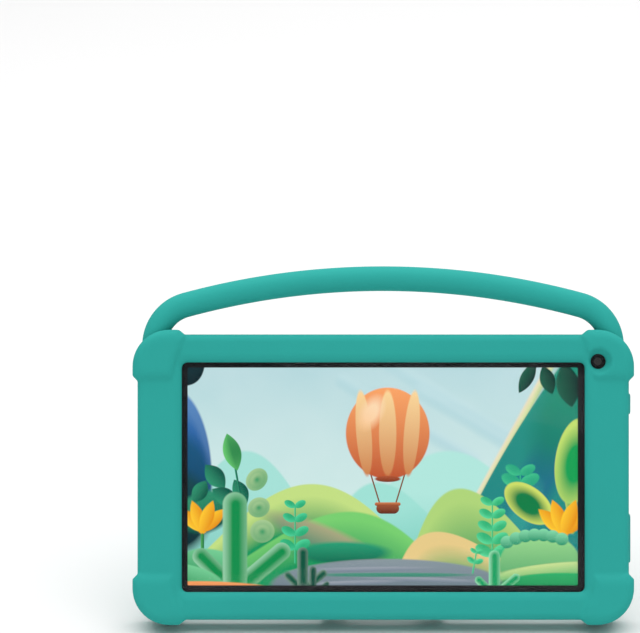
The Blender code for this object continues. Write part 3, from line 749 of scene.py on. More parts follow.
def paint_left_plants(canvas):
    """Leaves, a flower and cactuses at the left, over the orange ground."""
    dusky = ((48, 150, 112), (8, 78, 66))
    olive = ((172, 206, 150), (70, 158, 104))
    green = ((118, 206, 150), (16, 140, 82))
    canvas.patch("ellipse", (-70, -14), (11, 8), 20, *dusky, 0.2)
    for centre, size, turn in (((-66, 0), (6, 3.6), 130), ((-62, -8), (6, 3.4), 150),
                               ((-72, -6), (5, 3), 60), ((-56, -6), (5.4, 3), 118)):
        canvas.patch("leaf", centre, size, turn, *dusky, 0.1)
    canvas.patch("stem", (-56.4, -6), (0.4, 0.4, 14), 100, *dusky, 0.3)
    canvas.patch("leaf", (-59.3, 9.6), (7.6, 3.5), 106, (104, 200, 112), (20, 118, 66),
                 0.08, 0.9, 0.9)
    for centre, size, turn in (((-49.6, -1.2), (4.8, 3.9), 50), ((-48.8, -12.2), (4.4, 3.9), 20),
                               ((-47.4, -21.6), (4.8, 4.5), 10)):
        canvas.patch("ellipse", centre, size, turn, *olive, 0.08, 0.6, 1.2)
        heart = (size[0] * 0.5, size[1] * 0.5)
        canvas.patch("ellipse", centre, heart, turn, *olive, 0.7, 0.6, 1.6)
    paint_sprig(canvas, (-34.5, -34), 90, 22, 4, 3.6, (80, 214, 158), (22, 160, 106))
    paint_tulip(canvas, (-71, -21), 1.3)
    canvas.patch("ellipse", (-66, -36), (14, 7), -14, *green, 0.1)
    paint_cactus(canvas, (-31.5, -45), 0.44, (120, 150, 134), (8, 84, 62))
    paint_cactus(canvas, (-27.5, -47), 0.30, (110, 140, 126), (8, 74, 58))
    paint_cactus(canvas, (-58.2, -45), 1.0, (150, 206, 168), (14, 142, 76))
    canvas.patch("ellipse", (-76, -40), (14, 5), -14, *green, 0.1)
    canvas.patch("ellipse", (-66, -45), (28, 3.6), -2, (246, 160, 96), (228, 104, 64),
                 0.12)


def paint_right_plants(canvas):
    """Leaves, a flower and mounds at the right."""
    fresh = ((96, 222, 160), (24, 166, 104))
    paint_sprig(canvas, (54.3, -8), 90, 9, 2, 5.0, (66, 196, 142), (34, 160, 124))
    canvas.patch("stem", (72.4, -8), (0.9, 0.9, 14), 100, (196, 214, 110), (60, 160, 80),
                 0.3)
    canvas.patch("ellipse", (76, 6), (8.0, 17), -8, (196, 224, 112), (22, 160, 84), 0.04,
                 0.5, 3.4)
    canvas.patch("ellipse", (57.5, -10.6), (11.0, 6.4), -38, (206, 222, 104),
                 (14, 126, 70), 0.05, 0.4, 4.2)
    paint_sprig(canvas, (43.2, -36), 90, 25, 5, 4.0, *fresh)
    paint_sprig(canvas, (35.5, -38), 80, 8, 2, 2.2, *fresh)
    paint_tulip(canvas, (71.5, -22), 1.45)
    canvas.patch("ellipse", (62, -35), (16, 13), 0, (150, 214, 140), (20, 146, 92), 0.05,
                 1.2)
    for index in range(7):
        centre = (49 + index * 3.6, -23.0 - 0.55 * (index - 3.4) ** 2 * 0.45)
        canvas.patch("ellipse", centre, (2.6, 2.5), 0, (136, 220, 172), (26, 144, 104),
                     0.10, 1.0)
    canvas.patch("ellipse", (66, -37.5), (22, 3.2), 6, (206, 226, 150), (40, 176, 104),
                 0.2)
    canvas.patch("ellipse", (70, -43), (24, 5), 0, (44, 176, 104), (8, 116, 70), 0.1)
    paint_cactus(canvas, (44, -47), 0.46, (150, 222, 178), (24, 158, 96))


def display_picture():
    """The lit landscape, painted in the display's own millimetres from its UV map."""
    made, tree, shader = new_material(
        "display_picture", Base_Color=(0.002, 0.002, 0.002), Roughness=0.5,
        Specular_IOR_Level=0.02, Emission_Strength=1.0)
    chart = node(tree, "ShaderNodeUVMap", uv_map="picture")
    centred = node(tree, "ShaderNodeVectorMath", {0: chart.outputs[0], 1: (0.5, 0.5, 0.0)},
                   operation="SUBTRACT")
    place = node(tree, "ShaderNodeVectorMath", {0: centred.outputs[0], 1: (*PICTURE, 0.0)},
                 operation="MULTIPLY")
    split = node(tree, "ShaderNodeSeparateXYZ", {0: place.outputs[0]})
    rise = maths(tree, "DIVIDE", maths(tree, "ADD", split.outputs[1], 20.0), 63.0)
    sky = blend_colours(tree, rise, shade(206, 236, 230), shade(172, 212, 218))
    drift = noise(tree, place.outputs[0], 0.035, 3.0)
    sky = blend_colours(tree, maths(tree, "MULTIPLY", drift, 0.5), sky, shade(226, 240, 240))
    canvas = Canvas(tree, split.outputs[0], split.outputs[1], sky)
    for paint in (paint_distance, paint_right_mountain, paint_hills, paint_left_rock,
                  paint_balloon, paint_left_plants, paint_right_plants):
        paint(canvas)
    feed(tree, shader["Emission Color"], canvas.painted)
    return made


# ---------------------------------------------------------------- case

def edge_profile(sizes):
    """(depth, inset) pairs over both rounded long edges, front to back."""
    steps = 6
    quarter = [math.radians(90 * step / steps) for step in range(steps + 1)]
    front = [(sizes.edge * (1 - math.cos(t)), sizes.edge * (1 - math.sin(t))) for t in quarter]
    back = [(sizes.depth - depth, inset) for depth, inset in reversed(front)]
    return front + back


def case_body(sizes):
    rings = []
    for depth, inset in edge_profile(sizes):
        half = (sizes.half_width - inset, sizes.half_height - inset)
        rings.append(at_depth(rounded(half, 12.0 - inset), depth))
    return loft("bumper_case_soft", rings)


def corner_guard(side, rise):
    """One corner guard: domed front pad, side step and back flap."""
    outer = arc((84.3, 43.7), 14.4, 0, 90, 20)
    front = [(96.5, 37.7), (98.7, 39.9)] + outer
    front += [(80.2, 58.1), (77.5, 55.9), (78.6, 51.0), (80.5, 46.9), (81.7, 42.7), (82.8, 38.0)]
    if rise > 0:
        back = [(96.5, 39.2), (98.7, 40.0)] + outer
        back += [(83.4, 58.1), (81.7, 55.9), (81.2, 50.8), (80.7, 45.6), (80.2, 40.4),
                 (79.7, 35.2)]
    else:
        back = [(96.5, 40.8), (98.7, 42.6)] + outer
        back += [(81.4, 58.1), (79.6, 55.9), (79.6, 52.1), (79.6, 48.3), (79.6, 44.5),
                 (79.6, 40.8)]
    sections = [(-1.6, front, 0.54), (-1.5, front, 0.68), (-1.1, front, 0.81),
                (-0.4, front, 0.93), (0.3, front, 1.0),
                (14.3, back, 1.0), (15.8, back, 0.94), (16.35, back, 0.88), (16.6, back, 0.80)]
    rings = []
    for depth, outline, factor in sections:
        ring = [(side * x, depth, rise * z) for x, z in shrunk(outline, factor, (89.5, 48.5))]
        rings.append(ring)
    return loft("corner_guard", rings)


def stand_pad():
    """The raised silicone pad round the stand."""
    rings = []
    for depth, grow in ((12.5, 0.7), (16.4, 0.0), (17.2, -0.4), (17.6, -1.2)):
        half, top = 24.9 + grow, 39.5 + grow
        outline = [(half, -55.9)] + arc((half - 4.0, top - 4.0), 4.0, 0, 90, 8)
        outline += arc((4.0 - half, top - 4.0), 4.0, 90, 180, 8) + [(-half, -55.9)]
        rings.append(at_depth(outline, depth))
    return loft("stand_pad", rings)


def window_recess(sizes):
    rings = []
    slope = sizes.window_slope
    for depth, grow in ((-4.0, slope + 0.9), (0.0, slope), (0.25, slope * 0.62),
                        (0.7, slope * 0.28), (1.25, slope * 0.06), (1.6, 0.0), (4.0, 0.0)):
        rings.append(at_depth(rounded((79.3 + grow, 45.2 + grow), 2.2 + grow), depth))
    return loft("window_recess", rings)


def camera_funnel():
    steps = ((6.4, -4.0), (5.5, -1.6), (4.2, 0.0), (3.0, 1.2), (3.0, 4.0))
    return lathe("camera_funnel", steps, FRONT_CAMERA, 40, closed=False)


def soft_case_blank(sizes):
    """The case as one soft blank: every outer shape, with its wide cut-outs, before its pocket."""
    blank = case_body(sizes)
    for side in (1, -1):
        for rise in (1, -1):
            weld(blank, corner_guard(side, rise))
    weld(blank, stand_pad())
    cut(blank, window_recess(sizes))
    cut(blank, camera_funnel())
    cut(blank, block("insert_well", (-18.8, 18.8), (12.0, 20.0), (-60.0, 33.2)))
    cut(blank, lathe("camera_well", ((6.75, 11.0), (6.75, 20.0)), REAR_CAMERA, 48, closed=False))
    cut(blank, prism("grille_well", rounded((10.6, 4.7), 1.5, GRILLE, 6), (11.0, 20.0)))
    left = (-100.0, -93.0)
    cut(blank, prism("usb_well", rounded((3.6, 6.0), 2.0, USB, 8), left, side=True))
    cut(blank, prism("jack_well", circle(JACK, 4.0, 40), left, side=True))
    remesh = blank.modifiers.new("Voxel", "REMESH")
    remesh.mode = "VOXEL"
    remesh.voxel_size = sizes.grain
    remesh.use_smooth_shade = True
    relax = blank.modifiers.new("Relax", "SMOOTH")
    relax.factor = 0.5
    relax.iterations = 3
    apply_modifiers(blank)
    triangles = 2 * len(blank.data.polygons)
    thin = blank.modifiers.new("Thin", "DECIMATE")
    thin.ratio = min(1.0, sizes.triangles / triangles)
    apply_modifiers(blank)
    return blank


def handle_path(sizes, end_angle, steps=24):
    """The handle's centreline as (x, z) points from the left socket to the right one."""
    swing = math.asin(sizes.arc_end / sizes.arc)
    centre = (0.0, sizes.peak - sizes.arc)
    join = (sizes.arc_end, centre[1] + sizes.arc * math.cos(swing))
    elbow = (join[0] - sizes.elbow * math.sin(swing), join[1] - sizes.elbow * math.cos(swing))
    turns = [swing * step / 40 for step in range(40)]
    points = [(sizes.arc * math.sin(t), centre[1] + sizes.arc * math.cos(t)) for t in turns]
    points += arc(elbow, sizes.elbow, 90 - math.degrees(swing), end_angle, steps)
    return [(-x, z) for x, z in reversed(points[1:])] + points


def end_tree(tree, shape, material, result):
    """End a geometry tree on real instances with their material set."""
    real = node(tree, "GeometryNodeRealizeInstances", {0: shape})
    ready = node(tree, "GeometryNodeSetMaterial", {"Geometry": real.outputs[0],
                                                   "Material": material})
    feed(tree, result[0], ready.outputs[0])
    return tree


def tube_tree():
    """Geometry nodes that sweep a round tube along a curve."""
    tree, given, result = new_tree(
        "GeometryNodeTree", "handle_tube",
        [("Geometry", "Geometry", None), ("Radius", "Float", 5.2), ("Sides", "Int", 40),
         ("Material", "Material", None)], [("Geometry", "Geometry")])
    profile = node(tree, "GeometryNodeCurvePrimitiveCircle",
                   {"Resolution": given["Sides"], "Radius": given["Radius"]})
    sweep = node(tree, "GeometryNodeCurveToMesh",
                 {"Curve": given["Geometry"], "Profile Curve": profile.outputs[0],
                  "Fill Caps": True})
    return end_tree(tree, sweep.outputs[0], given["Material"], result)


def set_inputs(modifier, values):
    """Set a Geometry Nodes modifier's inputs by their sockets' identifiers."""
    for item in modifier.node_group.interface.items_tree:
        if item.item_type == "SOCKET" and item.in_out == "INPUT" and item.name in values:
            modifier[item.identifier] = values[item.name]


def run_tree(name, source, tree, values):
    """Run a Geometry Nodes tree on a source object and give its result as a plain mesh object."""
    modifier = source.modifiers.new("Nodes", "NODES")
    modifier.node_group = tree
    set_inputs(modifier, values)
    source.update_tag()
    bpy.context.view_layer.update()
    mesh = evaluated_mesh(source)
    made = bpy.data.objects.new(name, mesh)
    bpy.context.scene.collection.objects.link(made)
    bpy.data.objects.remove(source)
    return made


def welded(solid):
    """Merge a solid's doubled points, and turn its faces outwards."""
    bm = bmesh.new()
    bm.from_mesh(solid.data)
    bmesh.ops.remove_doubles(bm, verts=bm.verts, dist=0.0001)
    bmesh.ops.recalc_face_normals(bm, faces=bm.faces)
    bm.to_mesh(solid.data)
    bm.free()


def handle_tube(name, radius, drop):
    """The swept handle, cut off on a slant above the tablet's corners."""
    sizes = measures("handle")
    path = bpy.data.curves.new(name, "CURVE")
    path.dimensions = "3D"
    points = handle_path(sizes, -6.0)
    spline = path.splines.new("POLY")
    spline.points.add(len(points) - 1)
    for point, (x, z) in zip(spline.points, points):
        point.co = (x, sizes.depth, z, 1.0)
    source = bpy.data.objects.new(name + "_path", path)
    bpy.context.scene.collection.objects.link(source)
    tree = bpy.data.node_groups.get("handle_tube") or tube_tree()
    tube = run_tree(name, source, tree, {"Radius": radius, "Material": silicone()})
    welded(tube)
    for side in (1, -1):
        wedge = block("end_cut", (-30.0, 30.0), (-20.0, 30.0), (-40.0, 0.0))
        slant = Matrix.Rotation(math.radians(side * 24.0), 4, "Y")
        wedge.data.transform(Matrix.Translation((side * 90.21, 0.0, 53.9 - drop)) @ slant)
        cut(tube, wedge)
    return tube


class TABLET_OT_case(bpy.types.Operator):
    """Build the silicone case with its guards, stand pad and cut-outs"""
    bl_idname = "tablet.case"
    bl_label = "Bumper case"

    def execute(self, context):
        case = soft_case_blank(measures("case"))
        cut(case, prism("pocket", rounded((93.3, 52.8), 7.3, steps=8), (2.0, 12.2)))
        cut(case, prism("window", rounded((79.3, 45.2), 2.2), (-1.0, 3.0)))
        cut(case, block("rebate", (-21.3, 21.3), (11.8, 13.7), (-51.8, 35.7)))
        left, right = (-100.0, -92.0), (92.0, 100.0)
        cut(case, prism("sound_hole", circle(MICROPHONE, 1.0, 24), left, side=True))
        for height, half in ((POWER_HEIGHT, 4.15), (VOLUME_HEIGHT, 9.7)):
            hole = rounded((2.75, half + 0.25), 1.6, (KEY_DEPTH, height), 8)
            cut(case, prism("pad_hole", hole, right, side=True))
        cut(case, handle_tube("socket_cutter", measures("handle").radius + 0.12, 0.25))
        finish_piece(case, silicone(), "silicone", "bumper_case", sharp=50.0)
        return {"FINISHED"}


class TABLET_OT_handle(bpy.types.Operator):
    """Sweep the carry handle along its path"""
    bl_idname = "tablet.handle"
    bl_label = "Carry handle"

    def execute(self, context):
        tube = handle_tube("carry_handle_tube", measures("handle").radius, 0.0)
        finish_piece(tube, silicone(), "silicone", "carry_handle", sharp=50.0)
        return {"FINISHED"}


# ---------------------------------------------------------------- stand

def stand_insert(sizes):
    """The hard frame with its well, curved spring panel and central tongue."""
    half, top = sizes.insert_half, sizes.insert_top
    outline = [(-half, -55.8), (half, -55.8)] + arc((half - 1.2, top - 1.2), 1.2, 0, 90, 4)
    outline += arc((1.2 - half, top - 1.2), 1.2, 90, 180, 4)
    insert = prism("stand_insert", outline, (12.5, 17.4))
    weld(insert, block("flange", (-half - 2.5, half + 2.5), (12.5, 13.4), (-51.3, top + 2.5)))
    well = sizes.recess_half
    cut(insert, block("well", (-well, well), (13.2, 20.0), (-60.0, sizes.recess_top)))
    soften(insert, 0.3)
    panel = [(12.9, sizes.recess_top - 0.2), (13.3, sizes.recess_top - 0.2)]
    panel += [(13.3 + 2.3 * math.sin(math.radians(90 * s / 10)), 27.5 - 14.6 * s / 10)
              for s in range(11)]
    panel += [(14.3, 12.9), (12.9, 20.0)]
    for low, high in ((-15.6, -5.3), (-4.0, 4.0), (5.3, 15.6)):
        slab = prism("spring_panel", panel, (low, high), side=True)
        soften(slab, 0.25, 2)
        weld(insert, slab)
    bore = circle(HINGE, 1.0, 24)
    cut(insert, prism("pin_bore", bore, (-17.9, 17.9), side=True))
    return insert


def stand_leg_plate(sizes):
    """The leg with its two feet, drawn about the hinge."""
    half = sizes.leg_thick / 2
    low = -sizes.leg_length
    tilt = Vector(JOINTS["volume_rock"]["axis"])
    lean = math.asin(-tilt.z / tilt.length)
    slope = math.tan(math.radians(JOINTS["stand_fold"]["range_deg"][1]) - lean)
    top, foot, notch, rise = sizes.leg_half, sizes.foot_half, 7.9, 15.0
    arch = arc((notch - 1.0, low + rise - 1.0), 1.0, 0, 90, 4)
    arch += arc((1.0 - notch, low + rise - 1.0), 1.0, 90, 180, 4)
    outline = [(top, 1.4), (-top, 1.4), (-top, -1.0), (-foot, low), (-notch, low)]
    outline += list(reversed(arch)) + [(notch, low), (foot, low), (top, -1.0)]
    rings = []
    for depth in (-half, half):
        rings.append([(x, depth, z - depth * slope if z == low else z) for x, z in outline])
    leg = loft("stand_leg_plate", rings)
    soften(leg, 0.35)
    cut(leg, prism("leg_bore", circle((0.0, 0.0), 1.0, 24), (-top - 2, top + 2), side=True))
    return leg


class TABLET_OT_stand(bpy.types.Operator):
    """Build the stand's insert, leg and hinge pin"""
    bl_idname = "tablet.stand"
    bl_label = "Fold-out stand"

    def execute(self, context):
        sizes = measures("stand")
        finish_piece(stand_insert(sizes), stand_plastic(), "stand_plastic", "stand_frame")
        finish_piece(stand_leg_plate(sizes), stand_plastic(), "stand_plastic", "stand_leg",
                     body="stand_leg", matrix=leg_matrix())
        pin = loft("hinge_pin", [at_side(circle(HINGE, radius, 24), place) for place, radius in
                                 ((-17.6, 0.5), (-17.4, 0.7), (17.4, 0.7), (17.6, 0.5))])
        finish_piece(pin, metal("drawn_steel", (0.60, 0.60, 0.62)), "pin_steel",
                     "stand_hinge_pin")
        return {"FINISHED"}


# ---------------------------------------------------------------- side pads

def button_pad(name, height, half):
    """A silicone pad with a softly domed face."""
    rings = []
    for place, inset in ((93.4, 0.0), (96.9, 0.0), (97.3, 0.12), (97.55, 0.4), (97.65, 0.9)):
        size = (2.5 - inset, half - inset)
        rings.append(at_side(rounded(size, 1.4 - inset * 0.9, (KEY_DEPTH, height), 8), place))
    return loft(name, rings)


class TABLET_OT_side_pads(bpy.types.Operator):
    """Build the silicone pads over the power and volume keys"""
    bl_idname = "tablet.side_pads"
    bl_label = "Side pads"

    def execute(self, context):
        pads = (("power_pad", POWER_HEIGHT, 4.15, "power_button", "power_button_pad"),
                ("volume_pad", VOLUME_HEIGHT, 9.7, "volume_button", "volume_button_pad"))
        for name, height, half, body, replaced in pads:
            finish_piece(button_pad(name, height, half), silicone(), "silicone", replaced,
                         body=body)
        return {"FINISHED"}


# ---------------------------------------------------------------- screen

def picture_panel():
    """The display: a thin panel whose front face carries the picture's UV map."""
    panel = prism("display_screen", rounded((82.1, 48.65), 1.0, steps=4), (3.6, 5.8))
    layer = panel.data.uv_layers.new(name="picture")
    for loop in panel.data.loops:
        point = panel.data.vertices[loop.vertex_index].co
        layer.data[loop.index].uv = (0.5 + (point.x - PICTURE_CENTRE[0]) / PICTURE[0],
                                     0.5 + (point.z - PICTURE_CENTRE[1]) / PICTURE[1])
    return panel


def border_print():
    """The black print behind the glass: a frame with an eye for the front camera."""
    outer = rounded((92.5, 52.0), 6.5)
    inner = rounded((PICTURE[0] / 2, PICTURE[1] / 2), 0.5, PICTURE_CENTRE)
    rings = [at_depth(outer, 3.26), at_depth(outer, 3.4), at_depth(inner, 3.4),
             at_depth(inner, 3.26)]
    border = loft("border_print", rings, closed=True)
    cut(border, lathe("camera_eye", ((1.5, 3.0), (1.5, 4.0)), FRONT_CAMERA, 40, closed=False))
    return border


def glass_sheet():
    """The cover glass with ground edges."""
    rings = []
    for depth, inset in ((2.3, 0.25), (2.38, 0.06), (2.55, 0.0), (2.95, 0.0), (3.12, 0.06),
                         (3.2, 0.25)):
        rings.append(at_depth(rounded((92.7 - inset, 52.2 - inset), 6.7 - inset), depth))
    return loft("cover_glass_sheet", rings)


class TABLET_OT_screen(bpy.types.Operator):
    """Build the cover glass, its printed border and the lit display"""
    bl_idname = "tablet.screen"
    bl_label = "Screen"

    def execute(self, context):
        ink = moulded("border_ink", finish_tint("border"), (0.50, 0.60), 4000.0, 0.02, 0.0, 0.0,
                      0.08)
        finish_piece(glass_sheet(), cover_glass(), "cover_glass", "touch_glass")
        finish_piece(border_print(), ink, "black_plastic")
        finish_piece(picture_panel(), display_picture(), "display", "display_panel")
        return {"FINISHED"}


# ---------------------------------------------------------------- cameras and grille

def rear_camera_pieces():
    """(solid, material, slot, replaced node) of the rear camera, from the bezel inwards."""
    bezel = lathe("camera_bezel", [
        (6.4, 12.2), (6.4, 14.5), (6.3, 14.9), (6.0, 15.1), (5.6, 15.1), (5.35, 14.95),
        (5.2, 14.6), (4.5, 14.2), (4.15, 14.1), (4.05, 13.9), (4.05, 12.9), (3.2, 12.9),
        (3.2, 12.2)], REAR_CAMERA, 72)
    window = lathe("lens_window", [(0.2, 13.2), (3.7, 13.2), (3.75, 13.3), (3.75, 13.8),
                                   (3.65, 13.95), (0.2, 14.0)], REAR_CAMERA, 64, closed=False)
    baffle = lathe("lens_baffle", [
        (3.7, 12.95), (3.7, 13.15), (3.0, 13.15), (2.9, 12.6), (2.4, 12.5), (2.35, 12.1),
        (1.9, 12.0), (1.9, 11.9), (3.15, 11.9), (3.15, 12.95)], REAR_CAMERA, 64)
    eye = lathe("lens_eye", [(1.85, 11.88), (1.85, 11.95), (1.6, 12.25), (1.2, 12.5), (0.7, 12.66),
                             (0.1, 12.7)], REAR_CAMERA, 48, closed=False)
    return [(bezel, black_plastic(), "black_plastic", "rear_camera_ring"),
            (window, clear_lens(), "lens_glass", "rear_camera_lens"),
            (baffle, black_plastic(), "black_plastic"),
            (eye, lens_coating("violet_coating", (0.05, 0.02, 0.16)), "lens_glass")]


def front_camera_pieces():
    """The front camera behind the glass: a stepped black barrel with its small lens, tinted a pale pink as a
    painted glint.
    """
    barrel = lathe("front_camera_barrel", [
        (2.0, 3.45), (2.0, 6.9), (0.3, 6.9), (0.3, 4.4), (0.75, 4.3), (0.8, 4.0), (1.15, 3.9),
        (1.2, 3.45)], FRONT_CAMERA, 48)
    eye = lathe("front_camera_eye", [(0.72, 4.26), (0.72, 4.2), (0.5, 4.0), (0.1, 3.92)],
                FRONT_CAMERA, 32, closed=False)
    # The eye's pale pink colour is a painted glint of light, not the coating's own colour.
    return [(barrel, black_plastic(), "black_plastic"),
            (eye, lens_coating("smoky_coating", (0.46, 0.27, 0.28)), "lens_glass")]


class TABLET_OT_cameras(bpy.types.Operator):
    """Build the rear and front cameras"""
    bl_idname = "tablet.cameras"
    bl_label = "Cameras"

    def execute(self, context):
        for piece in rear_camera_pieces() + front_camera_pieces():
            finish_piece(*piece)
        return {"FINISHED"}


def hole_grid_tree():
    """Geometry nodes that punch a grid of round holes through a plate."""
    tree, given, result = new_tree(
        "GeometryNodeTree", "hole_grid",
        [("Geometry", "Geometry", None), ("Columns", "Int", 10), ("Rows", "Int", 5),
         ("Pitch", "Float", 1.6), ("Hole", "Float", 1.0), ("Centre", "Vector", None),
         ("Material", "Material", None)], [("Geometry", "Geometry")])
    spans = [maths(tree, "MULTIPLY", maths(tree, "SUBTRACT", given[count], 1.0), given["Pitch"])
             for count in ("Columns", "Rows")]
    grid = node(tree, "GeometryNodeMeshGrid",
                {"Size X": spans[0], "Size Y": spans[1], "Vertices X": given["Columns"],
                 "Vertices Y": given["Rows"]})
    quarter = (math.radians(90.0), 0.0, 0.0)
    upright = node(tree, "GeometryNodeTransform",
                   {"Geometry": grid.outputs[0], "Translation": given["Centre"],
                    "Rotation": quarter})
    punch = node(tree, "GeometryNodeMeshCylinder",
                 {"Vertices": 12, "Depth": 6.0,
                  "Radius": maths(tree, "MULTIPLY", given["Hole"], 0.5)})
    stamp = node(tree, "GeometryNodeInstanceOnPoints",
                 {"Points": upright.outputs[0], "Instance": punch.outputs[0],
                  "Rotation": quarter})
    tools = node(tree, "GeometryNodeRealizeInstances", {0: stamp.outputs[0]})
    punched = node(tree, "GeometryNodeMeshBoolean",
                   {0: given["Geometry"], 1: tools.outputs[0]}, operation="DIFFERENCE")
    return end_tree(tree, punched.outputs[0], given["Material"], result)


class TABLET_OT_grille(bpy.types.Operator):
    """Build the speaker grille with its grid of holes"""
    bl_idname = "tablet.grille"
    bl_label = "Speaker grille"

    def execute(self, context):
        sizes = measures("details")
        plate = prism("grille_plate", rounded((10.25, 4.35), 1.2, GRILLE, 6), (12.2, 14.9))
        cut(plate, prism("rim", rounded((9.3, 3.85), 0.9, GRILLE, 6), (14.4, 16.0)))
        cut(plate, prism("hollow", rounded((9.0, 3.7), 0.6, GRILLE, 4), (11.0, 13.6)))
        soften(plate, 0.12, 2)
        values = {"Columns": sizes.grille_columns, "Rows": sizes.grille_rows,
                  "Pitch": sizes.grille_pitch, "Hole": sizes.grille_hole,
                  "Centre": (GRILLE[0], 14.0, GRILLE[1]), "Material": black_plastic()}
        grille = run_tree("grille_cover", plate, hole_grid_tree(), values)
        finish_piece(grille, black_plastic(), "black_plastic", "speaker_grille")
        return {"FINISHED"}


# ---------------------------------------------------------------- sockets and inner parts

class TABLET_OT_sockets(bpy.types.Operator):
    """Build the charging and audio sockets seen through the case's cut-outs"""
    bl_idname = "tablet.sockets"
    bl_label = "Sockets"

    def execute(self, context):
        shell = prism("charging_socket", rounded((1.6, 4.5), 1.55, USB, 10), (-92.7, -85.3), True)
        cut(shell, prism("mouth", rounded((1.25, 4.15), 1.2, USB, 10), (-94.0, -86.6), True))
        weld(shell, block("contact_tongue", (-92.1, -86.0), (8.15, 8.85), (16.8, 23.2)))
        finish_piece(shell, metal("socket_steel", (0.62, 0.62, 0.64)), "sheet_metal", "usb_port")
        socket = block("audio_socket", (-91.3, -82.8), (5.7, 9.9), (1.5, 8.5))
        soften(socket, 0.2, 2)
        weld(socket, loft("barrel", [at_side(circle(JACK, radius, 40), place) for place, radius in
                                     ((-90.8, 2.6), (-92.6, 2.6), (-92.8, 2.4))]))
        cut(socket, prism("bore", circle(JACK, 1.75, 40), (-95.0, -84.0), True))
        finish_piece(socket, black_plastic(), "black_plastic", "headphone_jack")
        return {"FINISHED"}


class TABLET_OT_inner_parts(bpy.types.Operator):
    """Give every carried-over inner part its own finish"""
    bl_idname = "tablet.inner_parts"
    bl_label = "Inner parts"

    def execute(self, context):
        housing = moulded("housing_grain", (0.030, 0.031, 0.034), (0.45, 0.55), 2200.0, 0.15,
                          0.2, 0.0, 0.4)
        film = moulded("amber_film", (0.50, 0.26, 0.05), (0.30, 0.42), 1800.0, 0.05, 0.0, 0.0,
                       0.45)
        finishes = {"housing_plastic": housing, "black_plastic": black_plastic(),
                    "sheet_metal": metal("stamped_tin", (0.58, 0.58, 0.60), (0.3, 0.45)),
                    "circuit_board": circuit_board(), "battery_foil": crinkled_foil(),
                    "flex_film": film}
        slots = {entry["node"]: entry["material_slot"]
                 for entry in frame["record"]["subparts"]}
        for name, part in frame["nodes"].items():
            if part.hide_render:
                continue
            part.data.materials.clear()
            part.data.materials.append(finishes[slots[name]])
        return {"FINISHED"}


# ---------------------------------------------------------------- studio

def area_lamp(name, place, target, size, power):
    lamp = bpy.data.lights.new(name, "AREA")
    lamp.shape = "RECTANGLE"
    lamp.size, lamp.size_y = size
    lamp.energy = power
    holder = bpy.data.objects.new(name, lamp)
    bpy.context.scene.collection.objects.link(holder)
    way = Vector(target) - Vector(place)
    holder.location = place
    holder.rotation_euler = way.to_track_quat("-Z", "Y").to_euler()


def studio_floor():
    """A wide pale floor under the object."""
    bpy.ops.mesh.primitive_circle_add(vertices=96, radius=12.0, fill_type="NGON",
                                      location=(0.0, 0.0, -0.0002))
    floor = bpy.context.object
    floor.name = "studio_floor"
    made, tree, shader = new_material("studio_floor", Roughness=0.9, Specular_IOR_Level=0.1)
    drift = noise(tree, object_place(tree), 1.5)
    feed(tree, shader["Base Color"],
         blend_colours(tree, drift, (0.79, 0.79, 0.79), (0.81, 0.81, 0.81)))
    floor.data.materials.append(made)


def studio_world():
    """An even white surround."""
    world = bpy.data.worlds.new("studio")
    bpy.context.scene.world = world
    world.use_nodes = True
    backdrop = world.node_tree.nodes["Background"].inputs
    backdrop["Color"].default_value = (1.0, 1.0, 1.0, 1.0)
    backdrop["Strength"].default_value = 0.40


def studio_camera():
    """A long lens square on to the screen, with the case low and to the right of the frame."""
    distance = 1.403
    camera = bpy.data.cameras.new("view")
    camera.lens = 200.7
    camera.sensor_width = 36.0
    camera.clip_start = 0.01
    camera.clip_end = 50.0
    holder = bpy.data.objects.new("view", camera)
    bpy.context.scene.collection.objects.link(holder)
    place = case_matrix()
    target = place @ Vector((-24.9, 0.0, 63.3))
    back = (place.to_3x3() @ Vector((0.0, -1.0, 0.0))).normalized()
    up = (place.to_3x3() @ Vector((0.0, 0.0, 1.0))).normalized()
    turn = Matrix((up.cross(back), up, back)).transposed().to_4x4()
    holder.matrix_world = Matrix.Translation(target + back * distance) @ turn
    bpy.context.scene.camera = holder


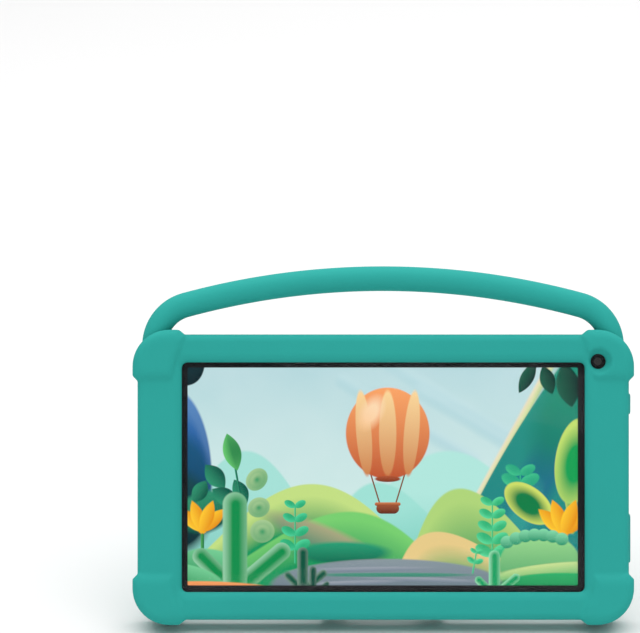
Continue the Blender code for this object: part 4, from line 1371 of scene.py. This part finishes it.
class TABLET_OT_studio(bpy.types.Operator):
    """Set up the floor, soft light and camera"""
    bl_idname = "tablet.studio"
    bl_label = "Studio"

    def execute(self, context):
        studio_floor()
        studio_world()
        area_lamp("top_softbox", (0.0, 0.1, 1.5), (0.0, 0.1, 0.0), (2.6, 2.6), 40.0)
        area_lamp("front_softbox", (0.0, -2.0, 0.22), (0.0, 0.0, 0.05), (2.6, 0.36), 5.0)
        area_lamp("rear_softbox", (0.5, 1.9, 0.5), (0.0, 0.0, 0.06), (2.0, 0.6), 5.0)
        context.scene.view_settings.view_transform = "Standard"
        studio_camera()
        return {"FINISHED"}


STEPS = ["studio", "case", "handle", "stand", "side_pads", "screen", "cameras", "grille",
         "sockets", "inner_parts"]


class TABLET_PT_panel(bpy.types.Panel):
    """Sizes, colours and building steps"""
    bl_idname = "TABLET_PT_panel"
    bl_label = "Kids tablet"
    bl_space_type = "VIEW_3D"
    bl_region_type = "UI"
    bl_category = "Tablet"

    def draw(self, context):
        for name in ("case", "handle", "stand", "details", "finishes"):
            box = self.layout.box()
            box.label(text=name.title())
            group = getattr(context.scene, "tablet_" + name)
            for prop in group.__annotations__:
                box.prop(group, prop)
        for step in STEPS:
            self.layout.operator("tablet." + step)


CLASSES = [TabletCaseSizes, TabletHandleSizes, TabletStandSizes, TabletDetailSizes,
           TabletFinishes, TABLET_OT_case, TABLET_OT_handle, TABLET_OT_stand,
           TABLET_OT_side_pads, TABLET_OT_screen, TABLET_OT_cameras, TABLET_OT_grille,
           TABLET_OT_sockets, TABLET_OT_inner_parts, TABLET_OT_studio, TABLET_PT_panel]
GROUPS = {"tablet_case": TabletCaseSizes, "tablet_handle": TabletHandleSizes,
          "tablet_stand": TabletStandSizes, "tablet_details": TabletDetailSizes,
          "tablet_finishes": TabletFinishes}


def register():
    for item in CLASSES:
        bpy.utils.register_class(item)
    for name, group in GROUPS.items():
        setattr(bpy.types.Scene, name, PointerProperty(type=group))


def unregister():
    for name in GROUPS:
        delattr(bpy.types.Scene, name)
    for item in reversed(CLASSES):
        bpy.utils.unregister_class(item)


def main():
    register()
    for step in STEPS:
        getattr(bpy.ops.tablet, step)()


if __name__ == "__main__":
    main()
